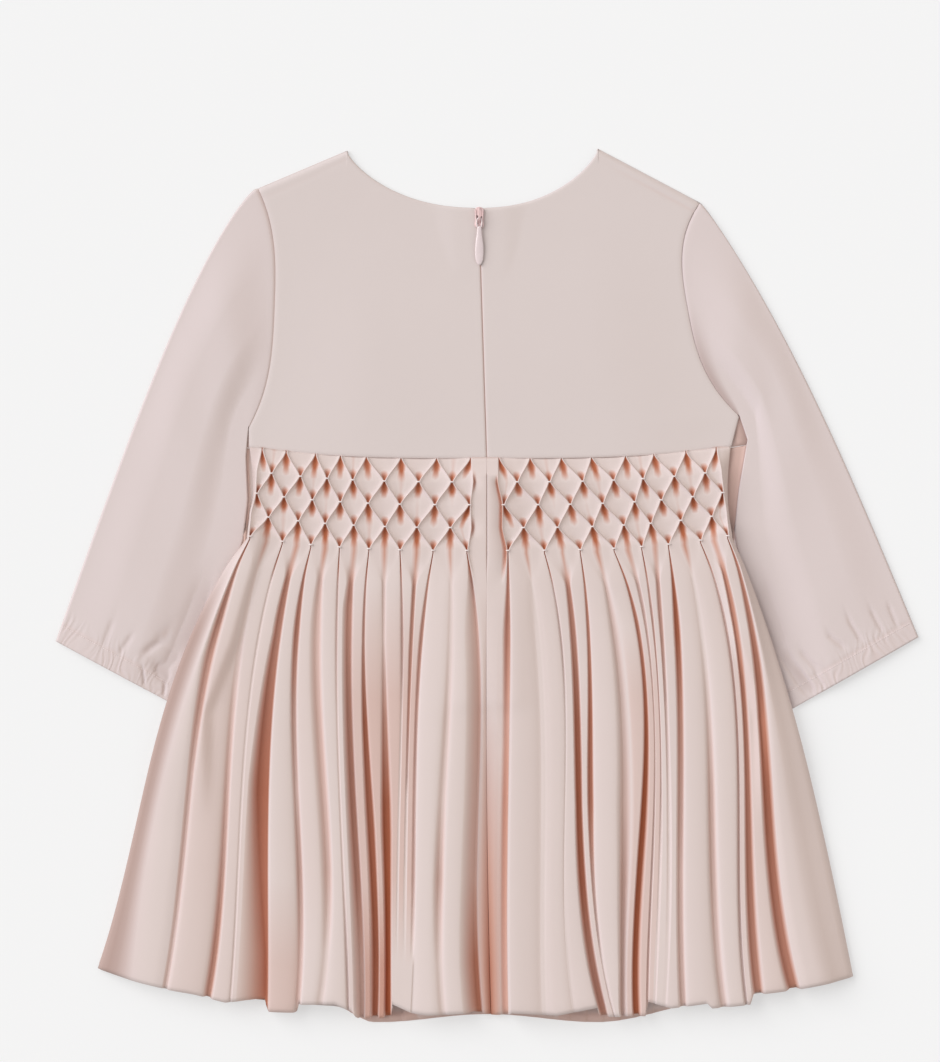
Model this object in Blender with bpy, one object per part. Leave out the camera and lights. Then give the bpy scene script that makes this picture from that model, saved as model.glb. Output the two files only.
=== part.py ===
"""A small child's smocked dress, laid flat on a table with its back up.

Everything is worked out in millimetres and written to the meshes in metres. +X is to the right and +Y
towards the neck as one looks down on the dress, +Z is up from the table. Each cloth piece is a wall with an
outer face and an under face: the front lies on the table, the back lies on the front, and the skirt's
margins lie over the inner corners of the sleeves.
"""

import math

import bmesh
import bpy
import numpy as np

MM = 0.001

# Heights above the table
WALL = 1.2
SEAM_GAP = 0.3
BACK_LEVEL = WALL + SEAM_GAP
LAID_TOP = BACK_LEVEL + WALL
FOLD_ROUND = LAID_TOP / 2

# Bodice
WAIST_Y = 71.5
WAIST_RISE = 6.0
WAIST_HALF = 133.0
ARMHOLE_STEPS = np.linspace(0.0, 1.0, 10)
NECK_BACK_Y = 212.5
NECK_FRONT_Y = 187.0
BODICE_PUFF = 2.2

# Smocked band: pairs of folds caught together at four rows of tacks below the waist seam
TACK_ROWS = 4
BAND_Y = 20.0
BAND_RISE = 8.0
FOLD_HALF = 0.7
CAUGHT_HALF = 1.0
BAND_TOP = 8.6
BAND_SEAM_TOP = 4.8
BAND_DEEP = 3.4
BAND_CELL = 5.4
BAND_SLACK = 1.2
BAND_INSIDE = 0.06
STRIP_HEIGHT = 4.5

# Pleated skirt
PLEAT_ROWS = (0.06, 0.16, 0.3, 0.46, 0.64, 0.82, 1.0)
STATIONS = (0.0, 0.22, 0.55, 1.0)
CREST_TOP = 8.6
CREST_HEM = 13.5
PLEAT_FLOOR = 3.0
HEM_Y = -240.8
HEM_RISE = 26.0
HEM_HALF = 219.0
PLEAT_WALL = 1.1
SLOPE_SHIFT = 0.88
LEAST_PANEL = 2.2
STRIP_RISE = 0.38

# Skirt's front: rows from the waist (-1) through the band's end (0) to the hem (1), and where its hem shows
FRONT_BAND_ROWS = (-1.0, -0.55, -0.2, -0.1, 0.0, 0.02, 0.05)
FRONT_HEM_ROWS = (0.62, 0.8, 1.0)
FRONT_PEEK = 5.0
PEEK_HALF = 95.0
PEEK_FADE = 30.0
HEM_HIDDEN = 3.0

# Sleeves: rows from the armhole (0) to the wrist (1), and the gathers on top of the casing
SLEEVE_ROWS = (0.0, 0.05, 0.13, 0.25, 0.4, 0.57, 0.74, 0.87, 0.94, 0.97, 1.0)
ARMHOLE_GAP = 0.5
SLEEVE_PUFF = 3.2
CUFF_PUFF = 1.7
CASING_START = 0.94
GATHERS = 14
GATHER_RISE = 0.5
# Share of the sleeve's width along the inner edge that the skirt may lie on
PRESSED_SHARE = 0.23

# Invisible zip at the centre back
ZIP_X_TOP = -4.8
ZIP_X_WAIST = -0.3
ZIP_TOP_Y = 208.5
ZIP_END_Y = -60.0
TAPE_HALF = 10.0
TAPE_THICK = 0.6
ZIP_RISE = 0.9
ZIP_SLIT = 0.3

# Slider and pull, in their own frame: the hinge axis is at the origin, along X, and Y points to the neck
SLIDER_HALF = 2.7
SLIDER_BACK = 6.6
SLIDER_FRONT = -5.6
SLIDER_THICK = 1.2
BRIDGE_HALF = 0.7
BRIDGE_INNER = 1.7
BRIDGE_OUTER = 2.5
BRIDGE_END = 5.6
BRIDGE_RISE = 2.0
BRIDGE_BAR = 0.7
AXIS_OVER = 1.0
PULL_BAR = 0.45
PULL_ARM = 0.75
PULL_CLEAR = 0.35
PULL_EYE_END = -4.4
PULL_THICK = 1.1
PULL_DROOP = math.radians(3.4)
# A row for each place down the pull: distance from the hinge and half its width there
PULL_WIDTHS = (
    (-6.2, 1.25),
    (-10.0, 1.55),
    (-14.0, 2.1),
    (-17.0, 2.4),
    (-19.5, 2.4),
    (-22.5, 2.0),
    (-25.0, 1.3),
    (-26.2, 0.6),
)
SLIDER_REST = BACK_LEVEL + ZIP_RISE + WALL + SEAM_GAP
HINGE_Y = 206.4
HINGE_Z = SLIDER_REST + SLIDER_THICK + AXIS_OVER

# How the skirt's margins rise over the sleeves' inner edges
MARGIN_LIFT = 3.1
MARGIN_RUN = 9.0
MARGIN_EARLY = 6.0

# One row for each pair of folds caught at the second and fourth tacks, from the centre outwards:
# distance from the dress's middle at the waist seam and at the last tack
LEFT_PAIRS = (
    # at seam, at last tack
    (9.5, 11.5),
    (28.5, 30.5),
    (48.5, 49.0),
    (68.0, 66.5),
    (82.5, 83.0),
    (96.5, 99.0),
    (113.0, 115.0),
    (126.5, 133.0),
)
RIGHT_PAIRS = (
    (6.5, 11.5),
    (24.0, 32.0),
    (41.5, 52.0),
    (58.5, 71.0),
    (77.5, 86.5),
    (93.5, 101.5),
    (111.5, 119.5),
    (128.5, 134.5),
)

# One row for each valley between two pleats, from the centre outwards.
# upper, lower, hem: distance from the middle at the second, third and last of STATIONS
# top, mid, end: how deep the valley is there, as a share of the crest
# near, far: width of its two slopes at the hem, towards and away from the centre
# rise, lift: height of the pleat outside it, as a share, and how far that pleat's hem is lifted
VALLEY_COLUMNS = ("upper", "lower", "hem", "top", "mid", "end", "near", "far", "rise", "lift")
LEFT_VALLEYS = (
    (5.5, 6.0, 4.5, 0.70, 0.40, 0.60, 2.0, 4.0, 0.95, 0.5),
    (21.0, 25.5, 25.0, 0.25, 0.25, 0.15, 3.0, 3.0, 0.95, -1.0),
    (37.0, 39.5, 41.0, 0.60, 0.25, 0.15, 1.5, 1.5, 0.95, 0.0),
    (42.5, 44.0, 46.0, 0.80, 0.45, 0.20, 1.5, 1.5, 0.90, 0.0),
    (47.5, 48.5, 50.5, 0.45, 0.40, 0.30, 1.2, 1.5, 0.95, 3.5),
    (58.0, 56.0, 54.5, 0.30, 0.95, 1.00, 1.2, 3.0, 0.55, -3.5),
    (69.5, 65.5, 60.0, 0.60, 1.00, 1.00, 2.0, 3.0, 0.60, -3.5),
    (77.0, 75.0, 67.5, 0.45, 0.65, 0.70, 2.0, 2.5, 0.80, -2.5),
    (83.5, 80.0, 74.0, 0.30, 0.30, 0.60, 2.0, 1.5, 1.00, 4.0),
    (95.0, 91.0, 94.0, 0.30, 0.30, 0.20, 4.0, 4.0, 1.00, 4.0),
    (106.0, 106.0, 106.5, 0.90, 0.40, 0.45, 1.5, 2.0, 0.75, -1.3),
    (118.0, 123.5, 125.0, 0.80, 0.95, 1.00, 1.2, 4.5, 0.60, 0.0),
    (125.0, 131.0, 137.0, 0.40, 0.55, 0.50, 1.5, 2.5, 0.85, -1.0),
    (137.5, 145.5, 155.0, 0.20, 0.30, 0.45, 3.0, 3.0, 0.80, 0.0),
    (152.5, 166.5, 180.5, 0.60, 0.35, 0.30, 2.0, 2.5, 0.80, 0.0),
)
RIGHT_VALLEYS = (
    (12.5, 12.0, 10.5, 0.90, 0.55, 0.45, 3.5, 1.5, 1.00, 0.0),
    (29.5, 32.0, 32.5, 0.20, 0.12, 0.08, 4.0, 4.0, 1.00, 0.0),
    (42.0, 44.5, 48.0, 0.35, 0.30, 0.20, 1.5, 1.5, 0.95, 2.0),
    (49.0, 50.5, 53.5, 0.35, 0.90, 0.60, 1.5, 2.0, 0.95, 2.5),
    (57.5, 59.0, 60.5, 0.55, 1.00, 0.75, 1.2, 3.0, 0.60, -3.0),
    (72.0, 75.5, 69.0, 0.15, 0.20, 0.80, 3.0, 4.0, 0.70, -3.0),
    (83.0, 88.0, 84.0, 0.50, 1.00, 1.00, 3.0, 1.5, 0.85, -1.0),
    (87.5, 92.5, 88.5, 0.60, 0.40, 0.30, 1.2, 1.2, 0.85, 0.0),
    (92.0, 97.0, 93.0, 0.45, 0.25, 0.20, 1.2, 1.2, 0.95, 0.0),
    (97.5, 101.5, 99.0, 0.45, 0.25, 0.20, 1.5, 2.5, 1.00, 0.5),
    (106.5, 109.0, 109.5, 0.90, 0.40, 0.30, 2.0, 2.0, 1.00, 3.0),
    (122.0, 126.0, 132.0, 0.25, 0.30, 0.40, 3.0, 3.0, 0.90, -2.0),
    (134.0, 140.5, 146.0, 0.50, 0.45, 0.40, 1.2, 1.5, 0.80, 0.0),
    (140.5, 146.5, 155.5, 0.60, 0.70, 0.80, 2.0, 3.0, 0.65, 0.0),
    (149.5, 157.0, 171.5, 0.60, 0.80, 0.80, 2.0, 4.0, 0.80, 0.0),
)

# Per side: the skirt's outer crest and silhouette at the last tack and the three stations below it
LEFT_CREST = (133.8, 156.5, 181.0, 199.0)
LEFT_EDGE = (135.0, 164.5, 190.5, 219.0)
RIGHT_CREST = (136.0, 152.0, 168.0, 191.0)
RIGHT_EDGE = (137.3, 157.5, 181.0, 205.5)
SEAM_LINE = (-0.3, -0.6, -0.3, 2.0)

# Per side: the sleeve's inner edge from the underarm to the cuff
LEFT_SLEEVE_INNER = (
    # y, distance
    (88.9, 134.2),
    (72.0, 136.0),
    (48.0, 136.6),
    (26.0, 137.2),
    (-30.0, 152.0),
    (-71.0, 168.0),
)
RIGHT_SLEEVE_INNER = (
    (95.6, 141.5),
    (82.0, 146.0),
    (54.0, 141.0),
    (29.0, 138.2),
    (-30.0, 150.0),
    (-73.5, 163.4),
)

# Middle of the laid dress's bounding box, which becomes the origin
MIDDLE = np.array((-0.2, 0.0, 0.0))

PINK = (0.72, 0.60, 0.57)
ZIP_PINK = (0.76, 0.58, 0.57)


class Side:
    """What differs between the two sides of the laid dress. Distances count outwards from the middle."""

    def __init__(self, name, sign, pairs, valleys, crest, edge, inner, points):
        self.name = name
        self.sign = sign
        self.pairs = np.array(pairs)
        self.valleys = dict(zip(VALLEY_COLUMNS, np.array(valleys).T))
        self.crest = crest
        self.edge = edge
        self.inner = np.array(inner)
        self.points = points


LEFT = Side(
    "left", -1, LEFT_PAIRS, LEFT_VALLEYS, LEFT_CREST, LEFT_EDGE, LEFT_SLEEVE_INNER,
    {
        "shoulder": (129.0, 223.5),
        "neck": (79.0, 244.7),
        "underarm": (134.2, 88.9),
        "waist": 134.0,
        "armhole_curve": 12.0,
        "cuff_outer": (242.6, -31.0),
        "sleeve_bow": 11.0,
        "bow_power": 0.6,
    },
)
RIGHT = Side(
    "right", 1, RIGHT_PAIRS, RIGHT_VALLEYS, RIGHT_CREST, RIGHT_EDGE, RIGHT_SLEEVE_INNER,
    {
        "shoulder": (119.5, 215.5),
        "neck": (62.2, 245.8),
        "underarm": (141.5, 95.6),
        "waist": 137.0,
        "armhole_curve": 18.0,
        "cuff_outer": (242.2, -28.7),
        "sleeve_bow": 8.3,
        "bow_power": 0.75,
    },
)


def mix(a, b, share):
    return a + (b - a) * share


def ease(t):
    """A smooth step from 0 to 1."""
    t = np.clip(t, 0.0, 1.0)
    return t * t * (3.0 - 2.0 * t)


def along(values, v):
    """The cubic through four values at STATIONS, read at v."""
    return np.polyval(np.polyfit(STATIONS, values, 3), v)


def waist_y(r):
    return WAIST_Y + WAIST_RISE * (np.abs(r) / WAIST_HALF) ** 3


def band_y(r):
    return BAND_Y + BAND_RISE * (np.abs(r) / WAIST_HALF) ** 3


def hem_y(r):
    return HEM_Y + HEM_RISE * (np.abs(r) / HEM_HALF) ** 3


def zip_x(y):
    """The centre back line, which leans a little between the neck and the waist."""
    return np.interp(y, (WAIST_Y, NECK_BACK_Y), (ZIP_X_WAIST, ZIP_X_TOP))


def zip_lift(x, y):
    """How much the back rises over the zip tape."""
    away = np.abs(x - zip_x(y))
    return ZIP_RISE * (1.0 - ease((away - 2.0 * TAPE_HALF) / 8.0)) * ease((y - ZIP_END_Y + 12.0) / 8.0)


def sleeve_inner_edge(side, y):
    """Distance of the sleeve's inner edge from the middle at y."""
    return np.interp(y, side.inner[::-1, 0], side.inner[::-1, 1])


def margin_lift(side, r, y, early=0.0):
    """How much the skirt's margin rises over the inner corner of the sleeve that lies under it.

    The back starts to rise sooner than the front, by early, and so stays clear of it.
    """
    over = ease((r + early - sleeve_inner_edge(side, y) + MARGIN_RUN) / (MARGIN_RUN - 1.5))
    below_band = ease((band_y(r) + 4.0 + early - y) / 8.0)
    cuff_corner = side.inner[-1, 0]
    above_cuff = ease((y + early - cuff_corner + 14.0) / 9.0)
    return MARGIN_LIFT * over * below_band * above_cuff


def wall_object(name, outer, under, colour, closed=False):
    """A closed wall between two grids of points: rows by columns, joined at their rims.

    With closed set, each row is a ring, so the wall is a tube that is open at both ends.
    """
    rows, columns = outer.shape[:2]
    bm = bmesh.new()
    faces = []
    grids = []
    for points in (outer, under):
        grids.append([[bm.verts.new(p) for p in row] for row in (points - MIDDLE) * MM])
    spans = columns if closed else columns - 1
    for grid, turn in zip(grids, (1, -1)):
        for i in range(rows - 1):
            for j in range(spans):
                k = (j + 1) % columns
                faces.append((grid[i][j], grid[i][k], grid[i + 1][k], grid[i + 1][j])[::turn])
    top, low = grids
    for i in (0, rows - 1):
        for j in range(spans):
            k = (j + 1) % columns
            faces.append((top[i][j], top[i][k], low[i][k], low[i][j]))
    if not closed:
        for j in (0, columns - 1):
            for i in range(rows - 1):
                faces.append((top[i][j], top[i + 1][j], low[i + 1][j], low[i][j]))
    for face in faces:
        bm.faces.new(face)
    bmesh.ops.triangulate(bm, faces=bm.faces, quad_method="SHORT_EDGE")
    bmesh.ops.recalc_face_normals(bm, faces=bm.faces)
    return finish_object(name, bm, colour)


def finish_object(name, bm, colour, roughness=0.85):
    mesh = bpy.data.meshes.new(name)
    bm.to_mesh(mesh)
    bm.free()
    piece = bpy.data.objects.new(name, mesh)
    bpy.data.collections["smocked_dress"].objects.link(piece)
    material = bpy.data.materials.new(name)
    material.use_nodes = True
    shader = material.node_tree.nodes["Principled BSDF"]
    shader.inputs["Base Color"].default_value = (*colour, 1.0)
    shader.inputs["Roughness"].default_value = roughness
    mesh.materials.append(material)
    return piece


def panel(top, first, last, keep):
    """A grid of points for a bodice panel, a row for each point of its side edges first and last.

    Its columns end at the points of top. Those between the neck points, whose x is in keep, run straight
    down, and the others fan out to the side edges. The lowest row follows the waist.
    """
    ends = np.array([top[0, 0], *keep, top[-1, 0]])
    order = np.argsort(ends)
    chords = []
    for a, b in zip(first, last):
        held = np.array([a[0], *keep, b[0]])
        x = np.interp(top[:, 0], ends[order], held[order])
        chords.append(np.column_stack([x, mix(a[1], b[1], (x - a[0]) / (b[0] - a[0]))]))
    grid = np.array(chords)
    up = np.linspace(0.0, 1.0, len(first))[:, None]
    waist = waist_y(grid[0, :, 0]) - grid[0, :, 1]
    neck = top[:, 1] - grid[-1, :, 1]
    grid[..., 1] += (1.0 - up) * waist + up * neck
    return grid


def armhole_bow(s):
    """How far the armhole curves in at s, as a share, in straight runs between ARMHOLE_STEPS."""
    return np.interp(s, ARMHOLE_STEPS, 1.0 - np.abs(2.0 * ARMHOLE_STEPS - 1.0) ** 3)


def armhole(side, s):
    """The armhole seam from the underarm (s 0) to the shoulder (s 1): a chord bowed towards the middle."""
    low = np.array(side.points["underarm"])
    high = np.array(side.points["shoulder"])
    points = mix(low, high, s[:, None])
    points[:, 0] -= side.points["armhole_curve"] * armhole_bow(s)
    return points


def bodice_side(side):
    """The bodice's outer edge, from the waist corner up the side seam and round the armhole."""
    corner = side.points["waist"]
    return np.vstack([[corner, waist_y(corner)], armhole(side, ARMHOLE_STEPS)])


def neck_curve(side, depth_y, count):
    """The neckline from the shoulder's neck point to the middle: a quarter of a rounded square."""
    turn = np.linspace(0.0, math.pi / 2, count)
    x_far, y_far = side.points["neck"]
    middle = side.sign * ZIP_X_TOP
    x = middle + (x_far - middle) * np.cos(turn) ** 0.9
    y = y_far - (y_far - depth_y) * np.sin(turn) ** 1.5
    return np.column_stack([x, y])


def shoulder_line(side, count):
    far = np.array(side.points["shoulder"])
    near = np.array(side.points["neck"])
    return mix(far, near, np.linspace(0.0, 1.0, count)[:, None])


def to_page(side, points):
    """Distances from the middle become x on the page."""
    out = np.array(points, float)
    out[..., 0] *= side.sign
    return out


def bodice_back(side):
    """One half of the bodice's back, from its outer edge to the zip."""
    outer_edge = bodice_side(side)
    top = np.vstack([shoulder_line(side, 5), neck_curve(side, NECK_BACK_Y, 8)[1:]])
    centre_y = np.linspace(waist_y(0.0), top[-1, 1], len(outer_edge))
    centre = np.column_stack([side.sign * zip_x(centre_y), centre_y])
    grid = panel(top, outer_edge, centre, side.points["neck"][:1])
    grid[:, -1, 0] += ZIP_SLIT / 2
    page = to_page(side, grid)
    inwards = 1.0 - grid[..., 0] / outer_edge[:, :1]
    up = np.linspace(0.0, 1.0, len(outer_edge))[:, None]
    puff = BODICE_PUFF * ease(inwards * 3.0) * (1.0 - up**3)
    level = BACK_LEVEL + np.maximum(puff, zip_lift(page[..., 0], page[..., 1]))
    under = np.dstack([page, level])
    outer = np.dstack([page, level + WALL])
    wall_object("bodice_back_" + side.name, outer, under, PINK)


def bodice_front():
    """The bodice's front, whole, lying on the table under the back."""
    left = to_page(LEFT, bodice_side(LEFT))
    right = to_page(RIGHT, bodice_side(RIGHT))
    left_neck = neck_curve(LEFT, NECK_FRONT_Y, 9)[1:]
    right_neck = neck_curve(RIGHT, NECK_FRONT_Y, 9)[1:-1]
    top = np.vstack(
        [
            to_page(LEFT, shoulder_line(LEFT, 3)),
            to_page(LEFT, left_neck),
            to_page(RIGHT, right_neck[::-1]),
            to_page(RIGHT, shoulder_line(RIGHT, 3)[::-1]),
        ]
    )
    page = panel(top, left, right, (-LEFT.points["neck"][0], RIGHT.points["neck"][0]))
    flat = np.zeros(page.shape[:2])
    wall_object("bodice_front", np.dstack([page, flat + WALL]), np.dstack([page, flat]), PINK)


def fold_rows(side):
    """Distance of each of the sixteen folds from the middle, at every half row of tacks down the band."""
    pairs = side.pairs
    halves = np.arange(0, 2 * TACK_ROWS + 1) / 2.0
    folds = np.zeros((len(halves), 2 * len(pairs)))
    for row, place in enumerate(halves):
        if place % 1.0:
            continue
        caught = mix(pairs[:, 0], pairs[:, 1], place / TACK_ROWS)
        if place % 2 == 0:
            folds[row, 0::2] = caught - CAUGHT_HALF
            folds[row, 1::2] = caught + CAUGHT_HALF
        else:
            between = (caught[1:] + caught[:-1]) / 2
            folds[row, 1:-1:2] = between - CAUGHT_HALF
            folds[row, 2:-1:2] = between + CAUGHT_HALF
            folds[row, 0] = caught[0] - 2.0
            folds[row, -1] = caught[-1] + 1.2
    folds[1::2] = (folds[:-1:2] + folds[2::2]) / 2
    return halves, folds


def band_sections(side):
    """Rows of the smocked band, each from the centre seam outwards: distances, y and heights."""
    halves, folds = fold_rows(side)
    rows = []
    for place, fold in zip(halves, folds):
        share = place / TACK_ROWS
        top = mix(BAND_SEAM_TOP, BAND_TOP, min(1.0, place))
        edge = mix(side.points["waist"] - 0.4, side.edge[0], share)
        seam = side.sign * SEAM_LINE[0] + ZIP_SLIT / 2
        strip = fold[0] - FOLD_HALF
        distance = [seam, mix(seam, strip, 0.6), strip]
        height = [STRIP_HEIGHT, STRIP_HEIGHT, mix(STRIP_HEIGHT, top, 0.3)]
        for i in range(len(fold) - 1):
            caught_row = i % 2
            phase = abs((place - caught_row + 1.0) % 2.0 - 1.0)
            deep = np.interp(phase, (0.0, 0.5, 1.0), (top - BAND_SLACK, BAND_DEEP, BAND_CELL))
            deep = min(deep, top - 0.6)
            near = fold[i] + FOLD_HALF
            far = fold[i + 1] - FOLD_HALF
            distance += [near, mix(near, far, 0.3), mix(near, far, 0.7), far]
            height += [top, deep, deep, top]
        distance += [fold[-1] + 0.3, max(edge, fold[-1] + 0.9)]
        height += [top * 0.9, PLEAT_FLOOR]
        distance = np.array(distance)
        y = mix(waist_y(distance) - SEAM_GAP, band_y(distance), share)
        rows.append((distance, y, np.array(height)))
    return rows


def pleat_sections(side):
    """Rows of the pleats below the band, each from the centre seam outwards.

    Every row has the same columns: the seam and the centre strip, then four points round each valley, then
    the outermost crest and the silhouette.
    """
    table = side.valleys
    caught = side.pairs[:, 1]
    tops = np.zeros(len(table["hem"]))
    tops[0::2] = caught
    tops[1::2] = (caught[1:] + caught[:-1]) / 2
    narrow_top = np.where(np.arange(len(tops)) % 2 == 0, 0.9, 3.0)
    rise = np.concatenate([[STRIP_RISE], table["rise"]])
    lift = np.concatenate([[0.0], table["lift"]])
    rows = []
    for v in PLEAT_ROWS:
        middle = along((tops, table["upper"], table["lower"], table["hem"]), v)
        upper_half = mix(table["top"], table["mid"], 2.0 * v)
        lower_half = mix(table["mid"], table["end"], 2.0 * v - 1.0)
        deep = upper_half if v < 0.5 else lower_half
        near = mix(narrow_top, table["near"], v**0.8)
        far = mix(narrow_top, table["far"], v**0.8)
        room = np.diff(middle) - LEAST_PANEL
        squeeze = np.minimum(1.0, room / (far[:-1] + near[1:]))
        far[:-1] *= squeeze
        near[1:] *= squeeze
        seam = side.sign * along(SEAM_LINE, v) + ZIP_SLIT / 2
        crest_edge = along(side.crest, v)
        edge = along(side.edge, v)
        far[-1] = min(far[-1], 0.6 * (crest_edge - middle[-1]))
        crest = mix(CREST_TOP, CREST_HEM, v) * mix(1.0, rise, ease(v * 1.6))
        near[0] = min(near[0], 0.4 * (middle[0] - seam))
        strip_end = middle[0] - near[0]
        seam_height = mix(BAND_SEAM_TOP, PLEAT_FLOOR, v)
        distance = [seam, mix(seam, strip_end, 0.3), mix(seam, strip_end, 0.6)]
        height = [seam_height, mix(seam_height, crest[0], 0.6), crest[0]]
        raised = [0.0, 0.0, 0.0]
        for i, x in enumerate(middle):
            low_crest = min(crest[i], crest[i + 1])
            bottom = low_crest - deep[i] * (low_crest - PLEAT_FLOOR)
            distance += [x - near[i], x - 0.35 * near[i], x + 0.35 * far[i], x + far[i]]
            height += [crest[i], bottom, bottom, crest[i + 1]]
            low_lift = min(lift[i], lift[i + 1])
            raised += [lift[i], low_lift, low_lift, lift[i + 1]]
        distance += [crest_edge, edge]
        height += [crest[-1] * 0.9, PLEAT_FLOOR]
        raised += [0.0, 0.0]
        distance = np.array(distance)
        y = mix(band_y(distance), hem_y(distance) + np.array(raised), v)
        rows.append((distance, y, np.array(height)))
    return rows


def skirt_back(side):
    """One half of the skirt's back, smocked at the top, with a pleat below each fold."""
    band = band_sections(side)
    pleats = pleat_sections(side)
    outer_rows, under_rows = [], []
    for distance, y, height in band + pleats:
        x = side.sign * distance
        lifted = margin_lift(side, distance, y, MARGIN_EARLY) + zip_lift(x, y)
        outer_rows.append(np.column_stack([distance, y, height + lifted]))
        inside = BACK_LEVEL + BAND_INSIDE * (height - PLEAT_FLOOR)
        under_rows.append(np.column_stack([distance, y, inside + lifted]))
    for row, (distance, y, height) in enumerate(pleats, start=len(band)):
        under = under_rows[row]
        shift = np.zeros(len(distance))
        lips_near = np.arange(3, len(distance) - 2, 4)
        lips_far = lips_near + 3
        starts = np.concatenate([[0], lips_far])
        ends = np.concatenate([lips_near, [len(distance) - 2]])
        for a, b in zip(starts, ends):
            inset = min(PLEAT_WALL, 0.35 * (distance[b] - distance[a]))
            if a:
                shift[a] = inset
            if b < len(distance) - 2:
                shift[b] = -inset
        shift[lips_near + 1] = -SLOPE_SHIFT
        shift[lips_near + 2] = SLOPE_SHIFT
        shift[-2] = -SLOPE_SHIFT / 2
        under[:, 0] += shift
        under[:, 2] = outer_rows[row][:, 2] - PLEAT_WALL
    outer = to_page(side, np.array(outer_rows))
    under = to_page(side, np.array(under_rows))
    wall_object("skirt_back_" + side.name, outer, under, PINK)


def edge_line(side, place):
    """The skirt's silhouette from the waist (-1) through the band's end (0) to the hem (1)."""
    if place <= 0.0:
        return mix(side.edge[0], side.points["waist"] - 0.4, -place)
    return along(side.edge, place)


def front_columns(side, place):
    """Distances across one half of the skirt's front, from near the middle to the silhouette."""
    edge = edge_line(side, place) - 0.6
    far_end = waist_y(edge) if place <= 0.0 else hem_y(edge)
    y = mix(band_y(edge), far_end, abs(place))
    fold = min(sleeve_inner_edge(side, y), edge - WALL)
    ramp = fold - MARGIN_RUN * np.array([1.0, 0.75, 0.45, 0.16])
    middle = np.linspace(0.12, 1.0, 5) * (ramp[0] - 6.0)
    return np.concatenate([middle, ramp, [mix(ramp[-1], edge, 0.5), edge]])


def skirt_front():
    """The skirt's front, lying on the table. Its hem shows below the back's in the middle."""
    places = np.concatenate([FRONT_BAND_ROWS, np.linspace(0.1, 0.5, 9), FRONT_HEM_ROWS])
    outer_rows, under_rows = [], []
    for place in places:
        x = np.concatenate([-front_columns(LEFT, place)[::-1], front_columns(RIGHT, place)])
        if place <= 0.0:
            y = mix(band_y(x), waist_y(x) - SEAM_GAP, -place)
        else:
            shows = 1.0 - ease((np.abs(x) - PEEK_HALF) / PEEK_FADE)
            hem = hem_y(x) + mix(HEM_HIDDEN, -FRONT_PEEK, shows)
            y = mix(band_y(x), hem, place)
        lifted = np.where(x < 0, margin_lift(LEFT, -x, y), margin_lift(RIGHT, x, y))
        outer_rows.append(np.column_stack([x, y, lifted + WALL]))
        under_rows.append(np.column_stack([x, y, lifted]))
    wall_object("skirt_front", np.array(outer_rows), np.array(under_rows), PINK)


def sleeve_point(side, v, s):
    """Points of the laid sleeve at v, from armhole to cuff, and at the places s, from inner to outer edge."""
    steps = np.linspace(0.0, 1.0, len(side.inner))
    # the inner edge is run along slowly near the underarm, where the armhole leans over it
    u = v ** (1.6 - 0.4 * v)
    near = np.array([np.interp(u, steps, side.inner[:, 1]), np.interp(u, steps, side.inner[:, 0])])
    shoulder = np.array(side.points["shoulder"])
    cuff = np.array(side.points["cuff_outer"])
    chord = cuff - shoulder
    normal = np.array([-chord[1], chord[0]]) / np.hypot(*chord)
    bow = side.points["sleeve_bow"] * math.sin(math.pi * v ** side.points["bow_power"])
    outer = mix(shoulder, cuff, v) + normal * bow
    points = mix(near, outer, s[:, None])
    sag = side.points["armhole_curve"] * (1.0 - v) ** 5
    points[:, 0] += ARMHOLE_GAP - sag * armhole_bow(s) ** (1.0 + 12.0 * v)
    return points


def sleeve_ring(side, v, steps, height, inset):
    """One ring of a laid sleeve: underneath from the inner to the outer edge, then back again on top.

    steps are the places across the upper layer and height is its height there. inset moves the ring into
    the wall.
    """
    ends = sleeve_point(side, v, np.array([0.0, 1.0]))
    width = np.hypot(*(ends[1] - ends[0]))
    turn = FOLD_ROUND / width
    low = sleeve_point(side, v, np.clip(ARMHOLE_STEPS, turn, 1.0 - turn))
    high = sleeve_point(side, v, np.clip(steps, turn, 1.0 - turn))[::-1]
    edges = sleeve_point(side, v, np.array([inset / width, 1.0 - inset / width]))
    return np.vstack(
        [
            np.column_stack([low, np.full(len(low), inset)]),
            [[*edges[1], FOLD_ROUND]],
            np.column_stack([high, height[::-1] - inset]),
            [[*edges[0], FOLD_ROUND]],
        ]
    )


def sleeve(side):
    """A sleeve laid flat, from the armhole seam to the gathered casing at the wrist, as one tube.

    Its upper layer is low at the armhole and along the inner edge, which the skirt's margin lies on.
    """
    steps = np.unique(np.concatenate([ARMHOLE_STEPS, np.linspace(0.0, 1.0, 2 * GATHERS + 1)]))
    gather = np.cos(2.0 * math.pi * GATHERS * steps) * ease((steps - PRESSED_SHARE) * 6.0)
    body = ease((steps - PRESSED_SHARE) / 0.25) * ease((1.0 - steps) / 0.3)
    outer, under = [], []
    for v in SLEEVE_ROWS:
        in_casing = ease((v - CASING_START + 0.02) / 0.03)
        puff = mix(SLEEVE_PUFF, CUFF_PUFF, v) * ease(v * 5.0)
        height = LAID_TOP + puff * body
        plain = height - GATHER_RISE * in_casing
        outer.append(sleeve_ring(side, v, steps, height + GATHER_RISE * gather * in_casing, 0.0))
        under.append(sleeve_ring(side, v, steps, np.maximum(plain, LAID_TOP), PLEAT_WALL))
    outer = to_page(side, np.array(outer))
    under = to_page(side, np.array(under))
    wall_object("sleeve_" + side.name, outer, under, PINK, closed=True)


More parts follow.
